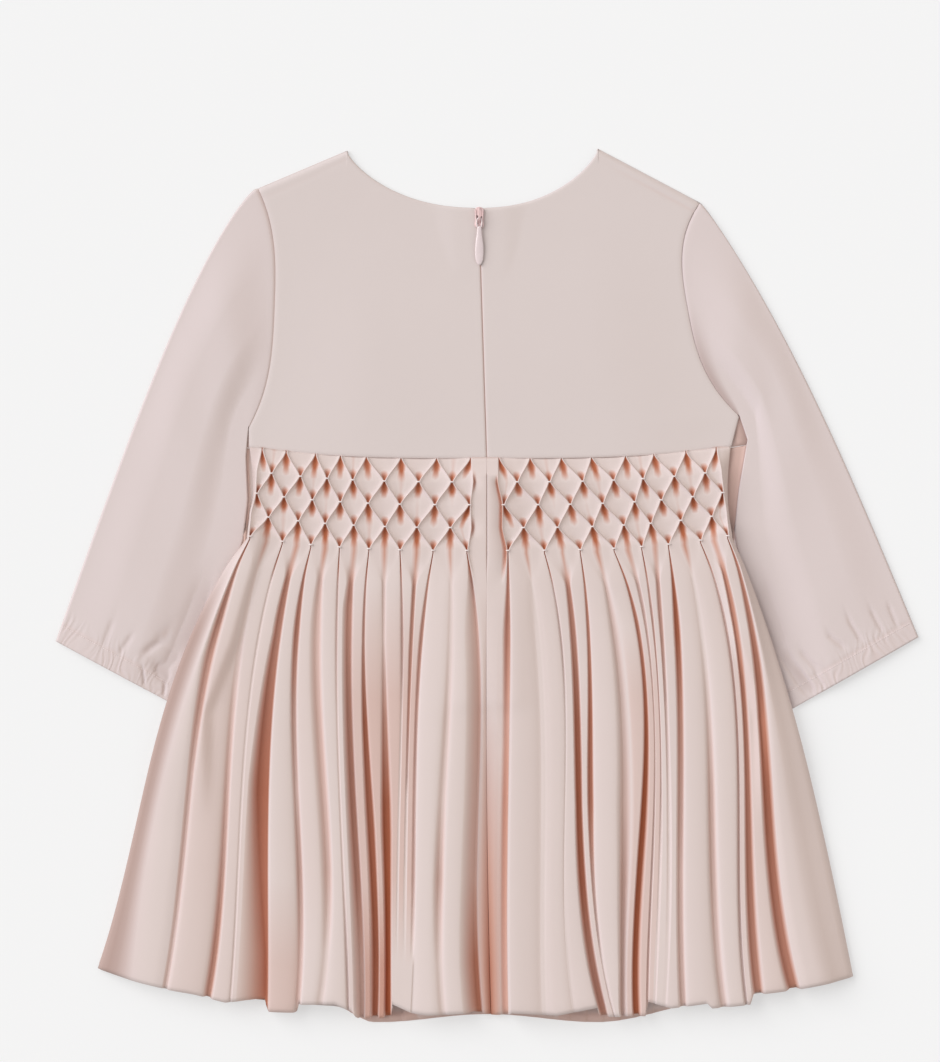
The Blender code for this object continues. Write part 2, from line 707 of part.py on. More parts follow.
def zip_tape():
    """The zip's tape, a flat strip between the front and the back along the centre back opening."""
    y = np.linspace(ZIP_TOP_Y, ZIP_END_Y, 8)
    outer, under = [], []
    for height in y:
        x = zip_x(height) + np.array([-TAPE_HALF, TAPE_HALF])
        level = np.full(2, BACK_LEVEL)
        under.append(np.column_stack([x, [height, height], level]))
        outer.append(np.column_stack([x, [height, height], level + TAPE_THICK]))
    wall_object("zip_tape", np.array(outer), np.array(under), ZIP_PINK)


def hinge_place():
    """Where the pull's hinge is, in metres."""
    return (np.array((zip_x(HINGE_Y), HINGE_Y, HINGE_Z)) - MIDDLE) * MM


def flat_outline(name, loops, half_thick, colour):
    """A plate from closed outlines in its own X and Y: the first is its edge, the others are holes."""
    curve = bpy.data.curves.new(name, "CURVE")
    curve.dimensions = "2D"
    curve.fill_mode = "BOTH"
    curve.extrude = half_thick * MM
    for points in loops:
        spline = curve.splines.new("POLY")
        spline.points.add(len(points) - 1)
        spline.use_cyclic_u = True
        for knot, (x, y) in zip(spline.points, points):
            knot.co = (x * MM, y * MM, 0.0, 1.0)
    holder = bpy.data.objects.new(name + "_outline", curve)
    bpy.context.scene.collection.objects.link(holder)
    bpy.context.view_layer.update()
    evaluated = holder.evaluated_get(bpy.context.evaluated_depsgraph_get())
    mesh = bpy.data.meshes.new_from_object(evaluated)
    bpy.data.objects.remove(holder)
    bm = bmesh.new()
    bm.from_mesh(mesh)
    bmesh.ops.remove_doubles(bm, verts=bm.verts, dist=0.00002)
    bmesh.ops.recalc_face_normals(bm, faces=bm.faces)
    return finish_object(name, bm, colour, roughness=0.4)


def zip_slider():
    """The slider's plate with the bridge that holds the pull, each as an outline seen from the side."""
    base = -AXIS_OVER
    foot = base - SLIDER_THICK / 2
    top = base + BRIDGE_RISE + BRIDGE_BAR
    plate = flat_outline(
        "zip_slider",
        [
            [
                (SLIDER_FRONT, base - SLIDER_THICK),
                (SLIDER_BACK, base - SLIDER_THICK),
                (SLIDER_BACK, base),
                (SLIDER_FRONT, base),
            ]
        ],
        SLIDER_HALF,
        ZIP_PINK,
    )
    bridge = flat_outline(
        "bridge",
        [
            [
                (-BRIDGE_OUTER, foot),
                (-BRIDGE_INNER, foot),
                (-BRIDGE_INNER, base + BRIDGE_RISE),
                (BRIDGE_INNER, base + BRIDGE_RISE),
                (BRIDGE_INNER, foot),
                (BRIDGE_END, foot),
                (BRIDGE_END, base + BRIDGE_BAR),
                (BRIDGE_OUTER, top),
                (BRIDGE_BAR - BRIDGE_OUTER, top),
                (-BRIDGE_OUTER, base + BRIDGE_RISE),
            ]
        ],
        BRIDGE_HALF,
        ZIP_PINK,
    )
    join = plate.modifiers.new("bridge", "BOOLEAN")
    join.operation = "UNION"
    join.object = bridge
    bridge.hide_render = True
    for piece in (plate, bridge):
        # the outline's own X and Y become the dress's Y and Z
        piece.rotation_euler = (math.pi / 2, 0.0, math.pi / 2)
        piece.location = hinge_place()
    bpy.data.collections["smocked_dress"].objects.unlink(bridge)
    bpy.data.collections["cutters"].objects.link(bridge)


def zip_pull():
    """The teardrop pull: its eye's bar lies under the slider's bridge, on the hinge axis."""
    hole_half = BRIDGE_HALF + PULL_CLEAR
    arm = hole_half + PULL_ARM
    right = [(half, place) for place, half in PULL_WIDTHS[::-1]]
    right += [(arm, PULL_EYE_END), (arm, PULL_BAR)]
    edge = right + [(-x, y) for x, y in right[::-1]]
    hole = [
        (-hole_half, -PULL_BAR),
        (hole_half, -PULL_BAR),
        (hole_half, PULL_EYE_END),
        (-hole_half, PULL_EYE_END),
    ]
    pull = flat_outline("zip_pull", [edge, hole], PULL_THICK / 2, ZIP_PINK)
    pull.rotation_euler = (PULL_DROOP, 0.0, 0.0)
    pull.location = hinge_place()


def start_scene():
    for piece in list(bpy.data.objects):
        bpy.data.objects.remove(piece)
    for name in ("smocked_dress", "cutters"):
        bpy.context.scene.collection.children.link(bpy.data.collections.new(name))


def main():
    start_scene()
    bodice_front()
    skirt_front()
    zip_tape()
    for side in (LEFT, RIGHT):
        bodice_back(side)
        skirt_back(side)
        sleeve(side)
    zip_slider()
    zip_pull()


main()
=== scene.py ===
"""A small child's smocked dress laid flat with its back up, and the plain stage that it is shown on.

Cloth is worked out in millimetres, with +X to the right, +Y towards the neck and +Z up from the table, and
put into the meshes in metres. Distances count outwards from the dress's middle on each side.
"""

import math

import bpy
import numpy as np
from bpy.props import FloatProperty, FloatVectorProperty, PointerProperty
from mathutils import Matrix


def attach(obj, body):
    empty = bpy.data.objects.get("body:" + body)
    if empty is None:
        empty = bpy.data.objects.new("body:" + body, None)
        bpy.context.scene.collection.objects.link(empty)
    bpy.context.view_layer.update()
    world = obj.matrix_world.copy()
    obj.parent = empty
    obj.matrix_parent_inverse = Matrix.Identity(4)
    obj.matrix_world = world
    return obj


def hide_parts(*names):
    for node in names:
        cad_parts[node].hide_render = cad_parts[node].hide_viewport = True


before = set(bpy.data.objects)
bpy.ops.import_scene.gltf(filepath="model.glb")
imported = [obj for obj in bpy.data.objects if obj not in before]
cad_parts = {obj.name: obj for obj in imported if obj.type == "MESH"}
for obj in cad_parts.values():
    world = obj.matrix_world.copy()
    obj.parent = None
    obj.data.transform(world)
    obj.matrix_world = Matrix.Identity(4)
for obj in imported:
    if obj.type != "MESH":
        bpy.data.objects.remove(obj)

bl_info = {
    "name": "Smocked dress",
    "version": (1, 0, 0),
    "blender": (4, 5, 0),
    "location": "3D View > Sidebar > Smocked dress",
    "description": "Builds the cloth, stitches and zip of a small child's smocked dress, and its stage",
    "category": "Add Mesh",
}

MM = 0.001
# The frame's origin on the page
MIDDLE = np.array((-0.2, 0.0, 0.0))

# Heights above the table
WALL = 1.2
SEAM_GAP = 0.3
BACK_LEVEL = WALL + SEAM_GAP
LAID_TOP = BACK_LEVEL + WALL
FOLD_ROUND = LAID_TOP / 2

# Bodice
WAIST_Y = 71.5
WAIST_RISE = 6.0
WAIST_HALF = 133.0
NECK_BACK_Y = 212.5
NECK_FRONT_Y = 187.0
BODICE_PUFF = 2.2
SIDE_SHARE = 0.1
PUFF_START = 110.0
# Rims that turn down into a seam, and the shoulder's seam itself: depth and width
WAIST_RIM = (0.55, 1.3)
SIDE_RIM = (0.28, 1.6)
ZIP_RIM = (0.5, 0.7)
NECK_RIM = (0.6, 1.2)
SHOULDER_RIM = (1.35, 2.2)
SHOULDER_SEAM = (0.5, 1.1)
SHOULDER_SEAM_BACK = 5.6
FRONT_RIM = (0.9, 2.0)
# How far the fronts run on under the sleeves' inner edges
FRONT_UNDER = 0.6

# Smocked band
TACK_ROWS = 4
BAND_Y = 20.0
BAND_RISE = 8.0
FOLD_HALF = 0.32
CAUGHT_HALF = 0.6
BAND_TOP = 8.6
BAND_SEAM_TOP = 4.9
STRIP_HEIGHT = 7.8
EDGE_TUCK = 0.4
CELL_SHADE = 0.09
# How high the cloth between two folds lies, by the distance from their tack in rows, above and below it
CELL_PLACES = (-1.0, -0.7, -0.45, -0.28, -0.14, -0.05, 0.05, 0.16, 0.34, 0.52, 0.75, 1.0)
CELL_HEIGHTS = (7.8, 7.7, 7.4, 6.9, 6.7, 7.9, 7.9, 6.6, 6.4, 6.9, 7.4, 7.8)

# Pleats
STATIONS = (0.0, 0.22, 0.55, 1.0)
CREST_TOP = 8.6
CREST_HEM = 13.5
PLEAT_FLOOR = 3.0
HEM_Y = -240.8
HEM_RISE = 26.0
HEM_HALF = 219.0
LEAST_PANEL = 2.2
ROOM = 0.6
STRIP_RISE = 0.38
BLEND_END = 0.08
FRONT_PEEK = 5.0
PEEK_MIDDLE = 64.0
PEEK_FADE = 62.0
HEM_HIDDEN = 3.0
FRONT_FOLDS = 16
MARGIN_LIFT = 3.1
MARGIN_RUN = 9.0
MARGIN_EARLY = 6.0

# Sleeves
ARMHOLE_GAP = 0.15
SLEEVE_PUFF = 3.2
CUFF_PUFF = 1.7
PRESSED_SHARE = 0.23
CASING_START = 0.962
SLEEVE_LENGTH = 255.0
SLEEVE_BREADTH = 105.0
UNDER_COLUMNS = 28
OVER_COLUMNS = 190
GATHERS = (23.0, 31.0, 41.0)

# Zip
ZIP_X_TOP = -4.8
ZIP_X_WAIST = -0.3
ZIP_TOP_Y = 208.5
ZIP_END_Y = -60.0
TAPE_HALF = 10.0
TAPE_THICK = 0.6
ZIP_RISE = 0.9
SLIDER_THICK = 1.2
AXIS_OVER = 1.0
HINGE_Y = 206.4
HINGE_Z = BACK_LEVEL + ZIP_RISE + WALL + SEAM_GAP + SLIDER_THICK + AXIS_OVER
PULL_DROOP = math.radians(3.4)
# The slider and its pull, measured from the hinge
SLIDER_BACK = -5.6
SLIDER_FRONT = 6.6
SLIDER_HALF = 2.35
# x, y and half widths of the slider's openings
SLIDER_HOLES = ((-1.3, 0.7, 0.7, 1.1), (1.35, 0.2, 0.75, 1.15), (-1.2, -2.9, 0.6, 0.6), (1.3, -4.2, 0.5, 0.7))
PULL_TOP = 4.3
PULL_LENGTH = 22.0
PULL_NECK = 1.2
PULL_HALF = 2.42
PULL_WIDEST = 0.62
LOOP_HALF = 1.45

# Stitches and stage
TACK_RADIUS = 0.42
TABLE_HALF = 3000.0
SENSOR = 36.0
# Where on the table the picture's middle lies, in metres
PICTURE_MIDDLE = (-0.0096, 0.0309)

# Cloth: shares of its red, green and blue, and the pitch of its weave in metres
MOTTLE_TINT = (0.965, 0.965, 0.965)
# painted light: warmer for cloth turned to the right, cooler for cloth turned to the left
PAINTED_WARM_LIGHT_TINT = (1.0, 0.95, 0.90)
PAINTED_COOL_LIGHT_TINT = (0.985, 0.99, 1.03)
# painted shade, greyer, where the depth field is below 0
SHADE_TINT = (0.60, 0.50, 0.47)
WEAVE_PITCH = 0.0005

# Distances of the smocking's pairs of folds
LEFT_PAIRS = (
    # at seam, at last tack
    (9.5, 11.5), (28.5, 30.5), (48.5, 49.0), (68.0, 66.5), (82.5, 83.0), (96.5, 99.0), (113.0, 115.0),
    (126.5, 133.0),
)
RIGHT_PAIRS = (
    (6.5, 11.5), (24.0, 32.0), (41.5, 52.0), (58.5, 71.0), (77.5, 86.5), (93.5, 101.5), (111.5, 119.5),
    (128.5, 134.5),
)

# One row for each valley between two pleats, from the centre outwards.
# upper, lower, hem: distance from the middle at the second, third and last of STATIONS
# near and far: widths of its slopes towards and away from the centre at WIDTH_STATIONS
# d1 to d5: how deep it is at DEPTH_STATIONS, as a share of the pleat's height, and how dark its painted shade
# is
# ramp, ramp_hem: share of the far side that slopes, halfway down and at the hem
# rise, rise_hem: height of the pleat outside it, halfway down and at the hem, as a share of the full height
WIDTH_STATIONS = (0.2, 0.55, 0.9)
DEPTH_STATIONS = (0.2, 0.37, 0.54, 0.71, 0.89)
VALLEY_COLUMNS = (
    "upper", "lower", "hem", "near1", "near2", "near3", "far1", "far2", "far3", "d1", "d2", "d3", "d4", "d5",
    "ramp", "ramp_hem", "rise", "rise_hem",
)
LEFT_VALLEYS = (
    (5.5, 6.0, 4.5, 1.5, 1.5, 2.0, 6.0, 6.2, 7.0, 0.38, 0.42, 0.38, 0.42, 0.85, 0.95, 0.9, 1.00, 1.00),
    (21.0, 25.5, 25.0, 2.5, 3.0, 3.0, 2.5, 3.0, 3.0, 0.05, 0.12, 0.12, 0.28, 0.06, 0.8, 0.8, 1.00, 1.00),
    (37.5, 40.8, 43.5, 0.9, 1.0, 1.0, 1.5, 1.5, 1.5, 0.50, 0.30, 0.22, 0.20, 0.00, 0.6, 0.6, 0.78, 1.00),
    (43.0, 45.5, 47.0, 1.2, 1.3, 1.0, 1.2, 1.3, 1.0, 0.55, 0.52, 0.10, 0.05, 0.00, 0.6, 0.6, 0.78, 1.00),
    (47.8, 49.3, 50.5, 1.0, 1.0, 1.0, 1.0, 1.0, 1.0, 0.30, 0.10, 0.05, 0.04, 0.00, 0.6, 0.6, 0.78, 1.00),
    (58.0, 56.6, 55.5, 1.2, 2.6, 2.4, 1.2, 2.8, 3.2, 0.15, 0.55, 0.93, 1.00, 1.00, 0.5, 0.5, 0.76, 0.50),
    (69.5, 66.0, 63.0, 0.9, 2.3, 2.6, 0.9, 2.4, 3.0, 0.45, 0.88, 0.86, 0.93, 0.92, 0.5, 0.6, 0.80, 0.60),
    (78.0, 75.2, 70.5, 2.2, 2.0, 2.2, 4.2, 4.6, 4.4, 0.55, 0.62, 0.65, 0.62, 0.38, 0.7, 0.8, 1.00, 0.95),
    (84.5, 82.5, 78.0, 1.0, 1.0, 1.0, 1.0, 1.0, 1.0, 0.15, 0.06, 0.05, 0.06, 0.10, 0.7, 0.7, 1.00, 1.00),
    (96.0, 92.0, 94.0, 3.2, 3.3, 3.0, 3.4, 3.5, 3.0, 0.28, 0.30, 0.28, 0.28, 0.06, 0.8, 0.8, 0.97, 1.00),
    (107.5, 107.0, 106.5, 1.8, 1.8, 2.0, 1.8, 1.9, 2.4, 0.68, 0.36, 0.25, 0.34, 0.22, 0.6, 0.6, 1.00, 0.84),
    (118.0, 124.0, 124.5, 1.8, 1.5, 1.6, 2.8, 8.4, 13.5, 0.64, 0.78, 0.88, 0.84, 0.88, 0.5, 0.97, 0.96, 0.96),
    (128.5, 137.5, 144.0, 1.0, 1.0, 1.0, 1.0, 1.0, 1.0, 0.06, 0.04, 0.04, 0.04, 0.05, 0.6, 0.6, 0.96, 0.96),
    (138.0, 146.2, 156.8, 2.5, 2.2, 2.4, 2.5, 2.4, 2.6, 0.08, 0.22, 0.30, 0.38, 0.58, 0.8, 0.8, 0.93, 0.95),
    (152.5, 166.5, 180.5, 3.0, 2.0, 1.8, 3.2, 2.2, 2.0, 0.52, 0.42, 0.24, 0.22, 0.15, 0.7, 0.7, 0.90, 0.90),
)
RIGHT_VALLEYS = (
    (12.0, 10.8, 11.0, 3.0, 3.2, 3.6, 1.0, 1.0, 1.0, 0.60, 0.45, 0.58, 0.52, 0.45, 0.6, 0.6, 1.00, 1.00),
    (29.5, 32.0, 32.5, 2.2, 2.2, 2.2, 2.2, 2.2, 2.2, 0.06, 0.06, 0.05, 0.06, 0.05, 0.8, 0.8, 1.00, 1.00),
    (42.0, 43.5, 48.0, 0.8, 0.8, 0.8, 0.8, 0.8, 0.8, 0.15, 0.04, 0.02, 0.02, 0.00, 0.8, 0.8, 1.00, 1.00),
    (48.6, 51.2, 66.0, 1.8, 1.9, 3.6, 2.0, 2.2, 4.2, 0.62, 0.85, 0.93, 0.90, 0.62, 0.5, 0.7, 0.92, 0.90),
    (57.0, 57.6, 71.0, 1.0, 1.7, 1.0, 1.0, 1.9, 1.2, 0.68, 0.85, 0.80, 0.30, 0.05, 0.5, 0.6, 0.98, 0.95),
    (73.0, 77.5, 76.0, 3.0, 4.5, 2.4, 4.0, 4.5, 2.8, 0.20, 0.20, 0.27, 0.36, 0.30, 0.95, 0.95, 0.84, 0.82),
    (86.0, 87.6, 83.0, 1.0, 1.5, 1.8, 1.6, 2.6, 2.8, 0.76, 0.95, 1.00, 0.97, 0.98, 0.6, 0.6, 0.82, 0.82),
    (90.5, 93.6, 89.5, 0.8, 0.8, 0.8, 1.2, 1.2, 1.2, 0.25, 0.24, 0.20, 0.20, 0.26, 0.6, 0.6, 0.84, 0.86),
    (94.0, 97.2, 93.5, 1.0, 1.0, 1.0, 1.0, 1.0, 1.0, 0.35, 0.24, 0.14, 0.06, 0.00, 0.6, 0.6, 0.94, 0.95),
    (98.0, 101.5, 99.0, 1.5, 1.5, 1.5, 1.5, 1.5, 1.5, 0.42, 0.16, 0.08, 0.04, 0.00, 0.6, 0.6, 1.00, 1.00),
    (106.8, 108.2, 109.5, 1.8, 2.2, 2.4, 1.8, 2.2, 2.4, 0.92, 0.56, 0.38, 0.26, 0.25, 0.6, 0.6, 1.00, 1.00),
    (121.0, 125.6, 132.5, 2.6, 2.8, 3.2, 2.6, 2.8, 3.2, 0.06, 0.16, 0.28, 0.27, 0.20, 0.8, 0.8, 0.96, 0.96),
    (135.0, 140.8, 145.0, 1.1, 1.1, 1.2, 0.9, 0.9, 1.0, 0.24, 0.33, 0.28, 0.24, 0.15, 0.6, 0.6, 0.88, 0.90),
    (139.6, 145.6, 151.5, 1.6, 2.0, 2.8, 1.9, 2.3, 3.2, 0.70, 0.74, 0.73, 0.73, 0.66, 0.6, 0.6, 0.88, 0.90),
    (148.4, 156.2, 171.2, 1.8, 2.6, 3.4, 2.2, 3.2, 3.8, 0.68, 0.80, 0.86, 0.80, 0.73, 0.6, 0.6, 0.90, 0.92),
)

# Per side: how far the pleats' hem lies above the hem's curve, along it from the centre outwards
LEFT_HEM = (
    # distance, lift
    (0.0, 0.6), (6.0, 0.6), (6.6, 1.7), (33.5, 0.5), (42.5, 1.7), (53.2, 6.4), (54.4, -2.0), (73.0, -2.6),
    (76.0, 1.8), (85.2, 5.3), (105.8, 3.6), (106.8, -1.2), (124.0, -2.2), (125.2, 3.6), (137.0, 2.3),
    (147.0, -0.1), (165.0, 1.4), (180.0, 0.7), (219.0, 0.0),
)
RIGHT_HEM = (
    (0.0, 0.0), (11.5, 0.0), (12.6, 1.9), (39.5, 0.4), (61.8, 4.4), (63.0, -1.0), (88.5, -1.8), (90.2, 6.2),
    (103.1, 1.8), (123.0, 2.7), (124.2, -0.3), (147.2, -1.4), (149.0, 3.7), (175.8, 1.8), (205.0, 0.0),
)

# Distances at STATIONS of the outermost pleat's crest, the silhouette and the centre back seam
LEFT_CREST = (133.8, 156.5, 181.0, 199.0)
LEFT_EDGE = (135.0, 164.5, 190.5, 219.0)
RIGHT_CREST = (136.0, 152.0, 168.0, 191.0)
RIGHT_EDGE = (137.3, 157.5, 181.0, 205.5)
SEAM_LINE = (-0.3, -0.6, -0.3, 2.0)

LEFT_SLEEVE_INNER = (
    # y, distance
    (88.9, 134.2), (72.0, 135.4), (48.0, 134.2), (26.0, 136.6), (-30.0, 152.0), (-71.0, 168.0),
)
RIGHT_SLEEVE_INNER = (
    (95.6, 141.5), (82.0, 146.0), (54.0, 141.0), (29.0, 138.2), (-30.0, 150.0), (-73.5, 163.4),
)

# Creases on a sleeve's top: down the sleeve and across it at each end, half width in mm, depth in mm
LEFT_CREASES = (
    (0.76, 0.17, 0.90, 0.22, 7.0, 1.5),
    (0.87, 0.297, 0.937, 0.42, 2.4, 1.1),
    (0.912, 0.53, 0.962, 0.57, 2.0, 0.6),
    (0.905, 0.685, 0.965, 0.688, 2.2, 0.5),
    (0.945, 0.32, 0.962, 0.20, 3.0, 1.5),
    (0.90, 0.22, 0.955, 0.26, 4.0, 1.0),
    (0.96, 0.398, 0.995, 0.333, 0.9, 0.9),
    (0.955, 0.23, 0.995, 0.19, 1.2, 0.9),
)
RIGHT_CREASES = (
    (0.76, 0.10, 0.88, 0.16, 8.0, 1.5),
    (0.882, 0.145, 0.987, 0.228, 3.0, 1.8),
    (0.93, 0.20, 0.99, 0.265, 1.6, 1.3),
    (0.902, 0.26, 0.96, 0.335, 1.8, 0.7),
    (0.957, 0.307, 0.998, 0.33, 1.0, 0.7),
    (0.90, 0.46, 0.945, 0.54, 1.5, 0.7),
    (0.89, 0.62, 0.95, 0.655, 1.5, 0.7),
    (0.90, 0.78, 0.955, 0.80, 1.5, 0.6),
    (0.91, 0.90, 0.96, 0.90, 1.5, 0.5),
)


class Side:
    """What differs between the two sides of the laid dress."""

    def __init__(self, name, sign, pairs, valleys, crest, edge, hem, inner, creases, measures):
        self.name = name
        self.sign = sign
        self.pairs = np.array(pairs)
        self.valleys = dict(zip(VALLEY_COLUMNS, np.array(valleys).T))
        self.crest = crest
        self.edge = edge
        self.hem = hem
        self.inner = np.array(inner)
        self.creases = creases
        self.measures = measures


LEFT = Side(
    "left", -1, LEFT_PAIRS, LEFT_VALLEYS, LEFT_CREST, LEFT_EDGE, LEFT_HEM, LEFT_SLEEVE_INNER,
    LEFT_CREASES,
    {
        "shoulder": (129.0, 223.5),
        "neck": (79.0, 244.7),
        "underarm": (134.2, 88.9),
        "waist": 134.0,
        "armhole_curve": 12.0,
        "cuff_outer": (242.6, -31.0),
        "sleeve_bow": 11.0,
        "bow_power": 0.6,
        "armpit_shade": 0.12,
        "band_nip": 2.5,
        "peek_fade": 22.0,
        "pleat_shade": 0.0,
        "edge_shade": (0.0, 0.0, 0.0, -0.15, -0.6, -0.9, -1.0, -0.95, -0.9),
    },
)
RIGHT = Side(
    "right", 1, RIGHT_PAIRS, RIGHT_VALLEYS, RIGHT_CREST, RIGHT_EDGE, RIGHT_HEM,
    RIGHT_SLEEVE_INNER, RIGHT_CREASES,
    {
        "shoulder": (119.5, 215.5),
        "neck": (62.2, 245.8),
        "underarm": (141.5, 95.6),
        "waist": 137.0,
        "armhole_curve": 18.0,
        "cuff_outer": (242.2, -28.7),
        "sleeve_bow": 8.3,
        "bow_power": 0.75,
        "armpit_shade": 0.7,
        "band_nip": 2.0,
        "peek_fade": 62.0,
        # the right half lies a little more in the shade
        "pleat_shade": 0.08,
        "edge_shade": (0.0,) * 9,
    },
)
SIDES = (LEFT, RIGHT)


def mix(a, b, share):
    """a, or b where share is 1, and a straight run between them."""
    return a + (b - a) * share


def ease(t):
    """A smooth step from 0 to 1: 3 t^2 - 2 t^3."""
    t = np.clip(t, 0.0, 1.0)
    return t * t * (3.0 - 2.0 * t)


def dip(distance, width):
    """1 at distance 0, falling smoothly to 0 at width."""
    return 1.0 - ease(np.abs(distance) / width)


def along(values, v):
    """The cubic through four values at STATIONS, read at every v."""
    cubic = np.polyfit(STATIONS, values, 3)
    return ((cubic[0] * v + cubic[1]) * v + cubic[2]) * v + cubic[3]


def between(stations, values, v):
    """Straight runs through the rows of values, one row for each station, read at every v."""
    weights = np.array([np.interp(v, stations, row) for row in np.eye(len(stations))])
    return weights.T @ np.array(values)


def outward_curve(y, rise, half, r):
    """A line across the dress that rises outwards: y + rise (r / half)^3."""
    return y + rise * (np.abs(r) / half) ** 3


def waist_y(r):
    """The waist seam, read at distance r."""
    return outward_curve(WAIST_Y, WAIST_RISE, WAIST_HALF, r)


def band_y(r):
    """The line of the last tacks, read at distance r."""
    return outward_curve(BAND_Y, BAND_RISE, WAIST_HALF, r)


def hem_y(r):
    """The hem, read at distance r."""
    return outward_curve(HEM_Y, HEM_RISE, HEM_HALF, r)


def zip_x(y):
    """The centre back line, which leans a little between the neck and the waist."""
    return np.interp(y, (WAIST_Y, NECK_BACK_Y), (ZIP_X_WAIST, ZIP_X_TOP))


def zip_lift(x, y):
    """How much the back rises over the zip tape."""
    away = np.abs(x - zip_x(y))
    return ZIP_RISE * (1.0 - ease((away - 1.2 * TAPE_HALF) / 16.0)) * ease((y - ZIP_END_Y + 12.0) / 8.0)


def sleeve_inner_edge(side, y):
    """Distance of the sleeve's inner edge from the middle at y."""
    return np.interp(y, side.inner[::-1, 0], side.inner[::-1, 1])


def margin_lift(side, r, y, early=0.0):
    """How much the skirt's margin rises over the inner corner of the sleeve that lies under it."""
    over = ease((r + early - sleeve_inner_edge(side, y) + MARGIN_RUN) / (MARGIN_RUN - 1.5))
    below_band = ease((band_y(r) + 4.0 + early - y) / 8.0)
    above_cuff = ease((y + early - side.inner[-1, 0] + 62.0) / 56.0)
    return MARGIN_LIFT * over * below_band * above_cuff


def to_page(side, points):
    """The points with their distances from the middle made into x on the page."""
    out = np.array(points, float)
    out[..., 0] *= side.sign
    return out


def grid_faces(rows, columns, closed=False):
    """The quads of a grid, counter-clockwise where x grows along a row and y up the rows."""
    i, j = np.meshgrid(np.arange(rows - 1), np.arange(columns if closed else columns - 1), indexing="ij")
    k = (j + 1) % columns
    quads = np.stack([i * columns + j, i * columns + k, (i + 1) * columns + k, (i + 1) * columns + j], -1)
    return quads.reshape(-1, 4)


def put_mesh(name, points, faces, fields=None, uv=None):
    """A mesh object from an array of points in millimetres and an array of quads or triangles."""
    mesh = bpy.data.meshes.new(name)
    size = faces.shape[1]
    mesh.vertices.add(len(points))
    mesh.vertices.foreach_set("co", ((points - MIDDLE) * MM).astype(np.float32).ravel())
    mesh.loops.add(faces.size)
    mesh.loops.foreach_set("vertex_index", faces.astype(np.int32).ravel())
    mesh.polygons.add(len(faces))
    mesh.polygons.foreach_set("loop_start", np.arange(0, faces.size, size, dtype=np.int32))
    mesh.polygons.foreach_set("loop_total", np.full(len(faces), size, dtype=np.int32))
    mesh.polygons.foreach_set("use_smooth", np.ones(len(faces), dtype=bool))
    mesh.update(calc_edges=True)
    for field, values in (fields or {}).items():
        layer = mesh.attributes.new(field, "FLOAT", "POINT")
        layer.data.foreach_set("value", np.asarray(values, np.float32).ravel())
    if uv is not None:
        layer = mesh.uv_layers.new(name="cloth")
        layer.data.foreach_set("uv", (uv.reshape(-1, 2)[faces.ravel()]).astype(np.float32).ravel())
    mesh.validate()
    piece = bpy.data.objects.new(name, mesh)
    bpy.context.scene.collection.objects.link(piece)
    return piece


def cloth_uv(grid):
    """Each point's place on the flat cloth in metres: the lengths run along its row and up its column."""
    across = np.linalg.norm(np.diff(grid, axis=1), axis=-1)
    up = np.linalg.norm(np.diff(grid, axis=0), axis=-1)
    u = np.concatenate([np.zeros((len(grid), 1)), np.cumsum(across, 1)], 1)
    v = np.concatenate([np.zeros((1, grid.shape[1])), np.cumsum(up, 0)], 0)
    return np.dstack([u - u.mean(1, keepdims=True), np.broadcast_to(v.mean(1, keepdims=True), u.shape)]) * MM


def unit(vectors):
    """The vectors at length 1."""
    return vectors / (np.linalg.norm(vectors, axis=-1, keepdims=True) + 1e-12)


def facing(grid):
    """How far the cloth turns to the right at each point: the x part of its unit normal, taken upwards."""
    normal = np.cross(np.gradient(grid, axis=1), np.gradient(grid, axis=0))
    return (unit(normal) * np.where(normal[..., 2:] < 0.0, -1.0, 1.0))[..., 0]


def cloth_area(grid, closed=False):
    """The area of a grid's cloth in square metres: the sum of its quads' half cross products."""
    if closed:
        grid = np.concatenate([grid, grid[:, :1]], axis=1)
    one = np.cross(grid[:-1, 1:] - grid[:-1, :-1], grid[1:, :-1] - grid[:-1, :-1])
    two = np.cross(grid[:-1, 1:] - grid[1:, 1:], grid[1:, :-1] - grid[1:, 1:])
    return (np.linalg.norm(one, axis=-1).sum() + np.linalg.norm(two, axis=-1).sum()) / 2 * MM**2


def cloth_piece(node, grid, depth, material, thick, closed=False, flip=False):
    """A shell of cloth on a grid of points, which stands for a node of the frame and rides with the dress."""
    faces = grid_faces(*grid.shape[:2], closed)
    if flip:
        faces = faces[:, ::-1]
    # nothing lies under the surface
    grid = np.maximum(grid, (-np.inf, -np.inf, 0.0))
    # depth carries the painted shade of folds and seams, and facing the way the cloth turns, for its painted
    # light
    fields = {"depth": depth, "facing": facing(grid)}
    piece = put_mesh(node + "_cloth", grid.reshape(-1, 3), faces, fields, cloth_uv(grid))
    piece.data.materials.append(material)
    wall = piece.modifiers.new("wall", "SOLIDIFY")
    wall.thickness = thick * MM
    wall.offset = -1.0
    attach(piece, "dress")
    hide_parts(node)
    return piece


class Wire:
    """An output socket of a material's node, whose sums add Math nodes to that material."""

    def __init__(self, paint, socket):
        self.paint = paint
        self.socket = socket

    def sum(self, operation, *values):
        """A Math node over the values."""
        return self.paint.node("ShaderNodeMath", {"operation": operation}, dict(enumerate(values)))

    def __add__(self, other):
        return self.sum("ADD", self, other)

    def __sub__(self, other):
        return self.sum("SUBTRACT", self, other)

    def __mul__(self, other):
        return self.sum("MULTIPLY", self, other)

    def sine(self):
        """The sine of the wire's value."""
        return self.sum("SINE", self)

    def within(self):
        """The wire's value kept between 0 and 1."""
        return self.paint.node("ShaderNodeClamp", {}, {0: self})


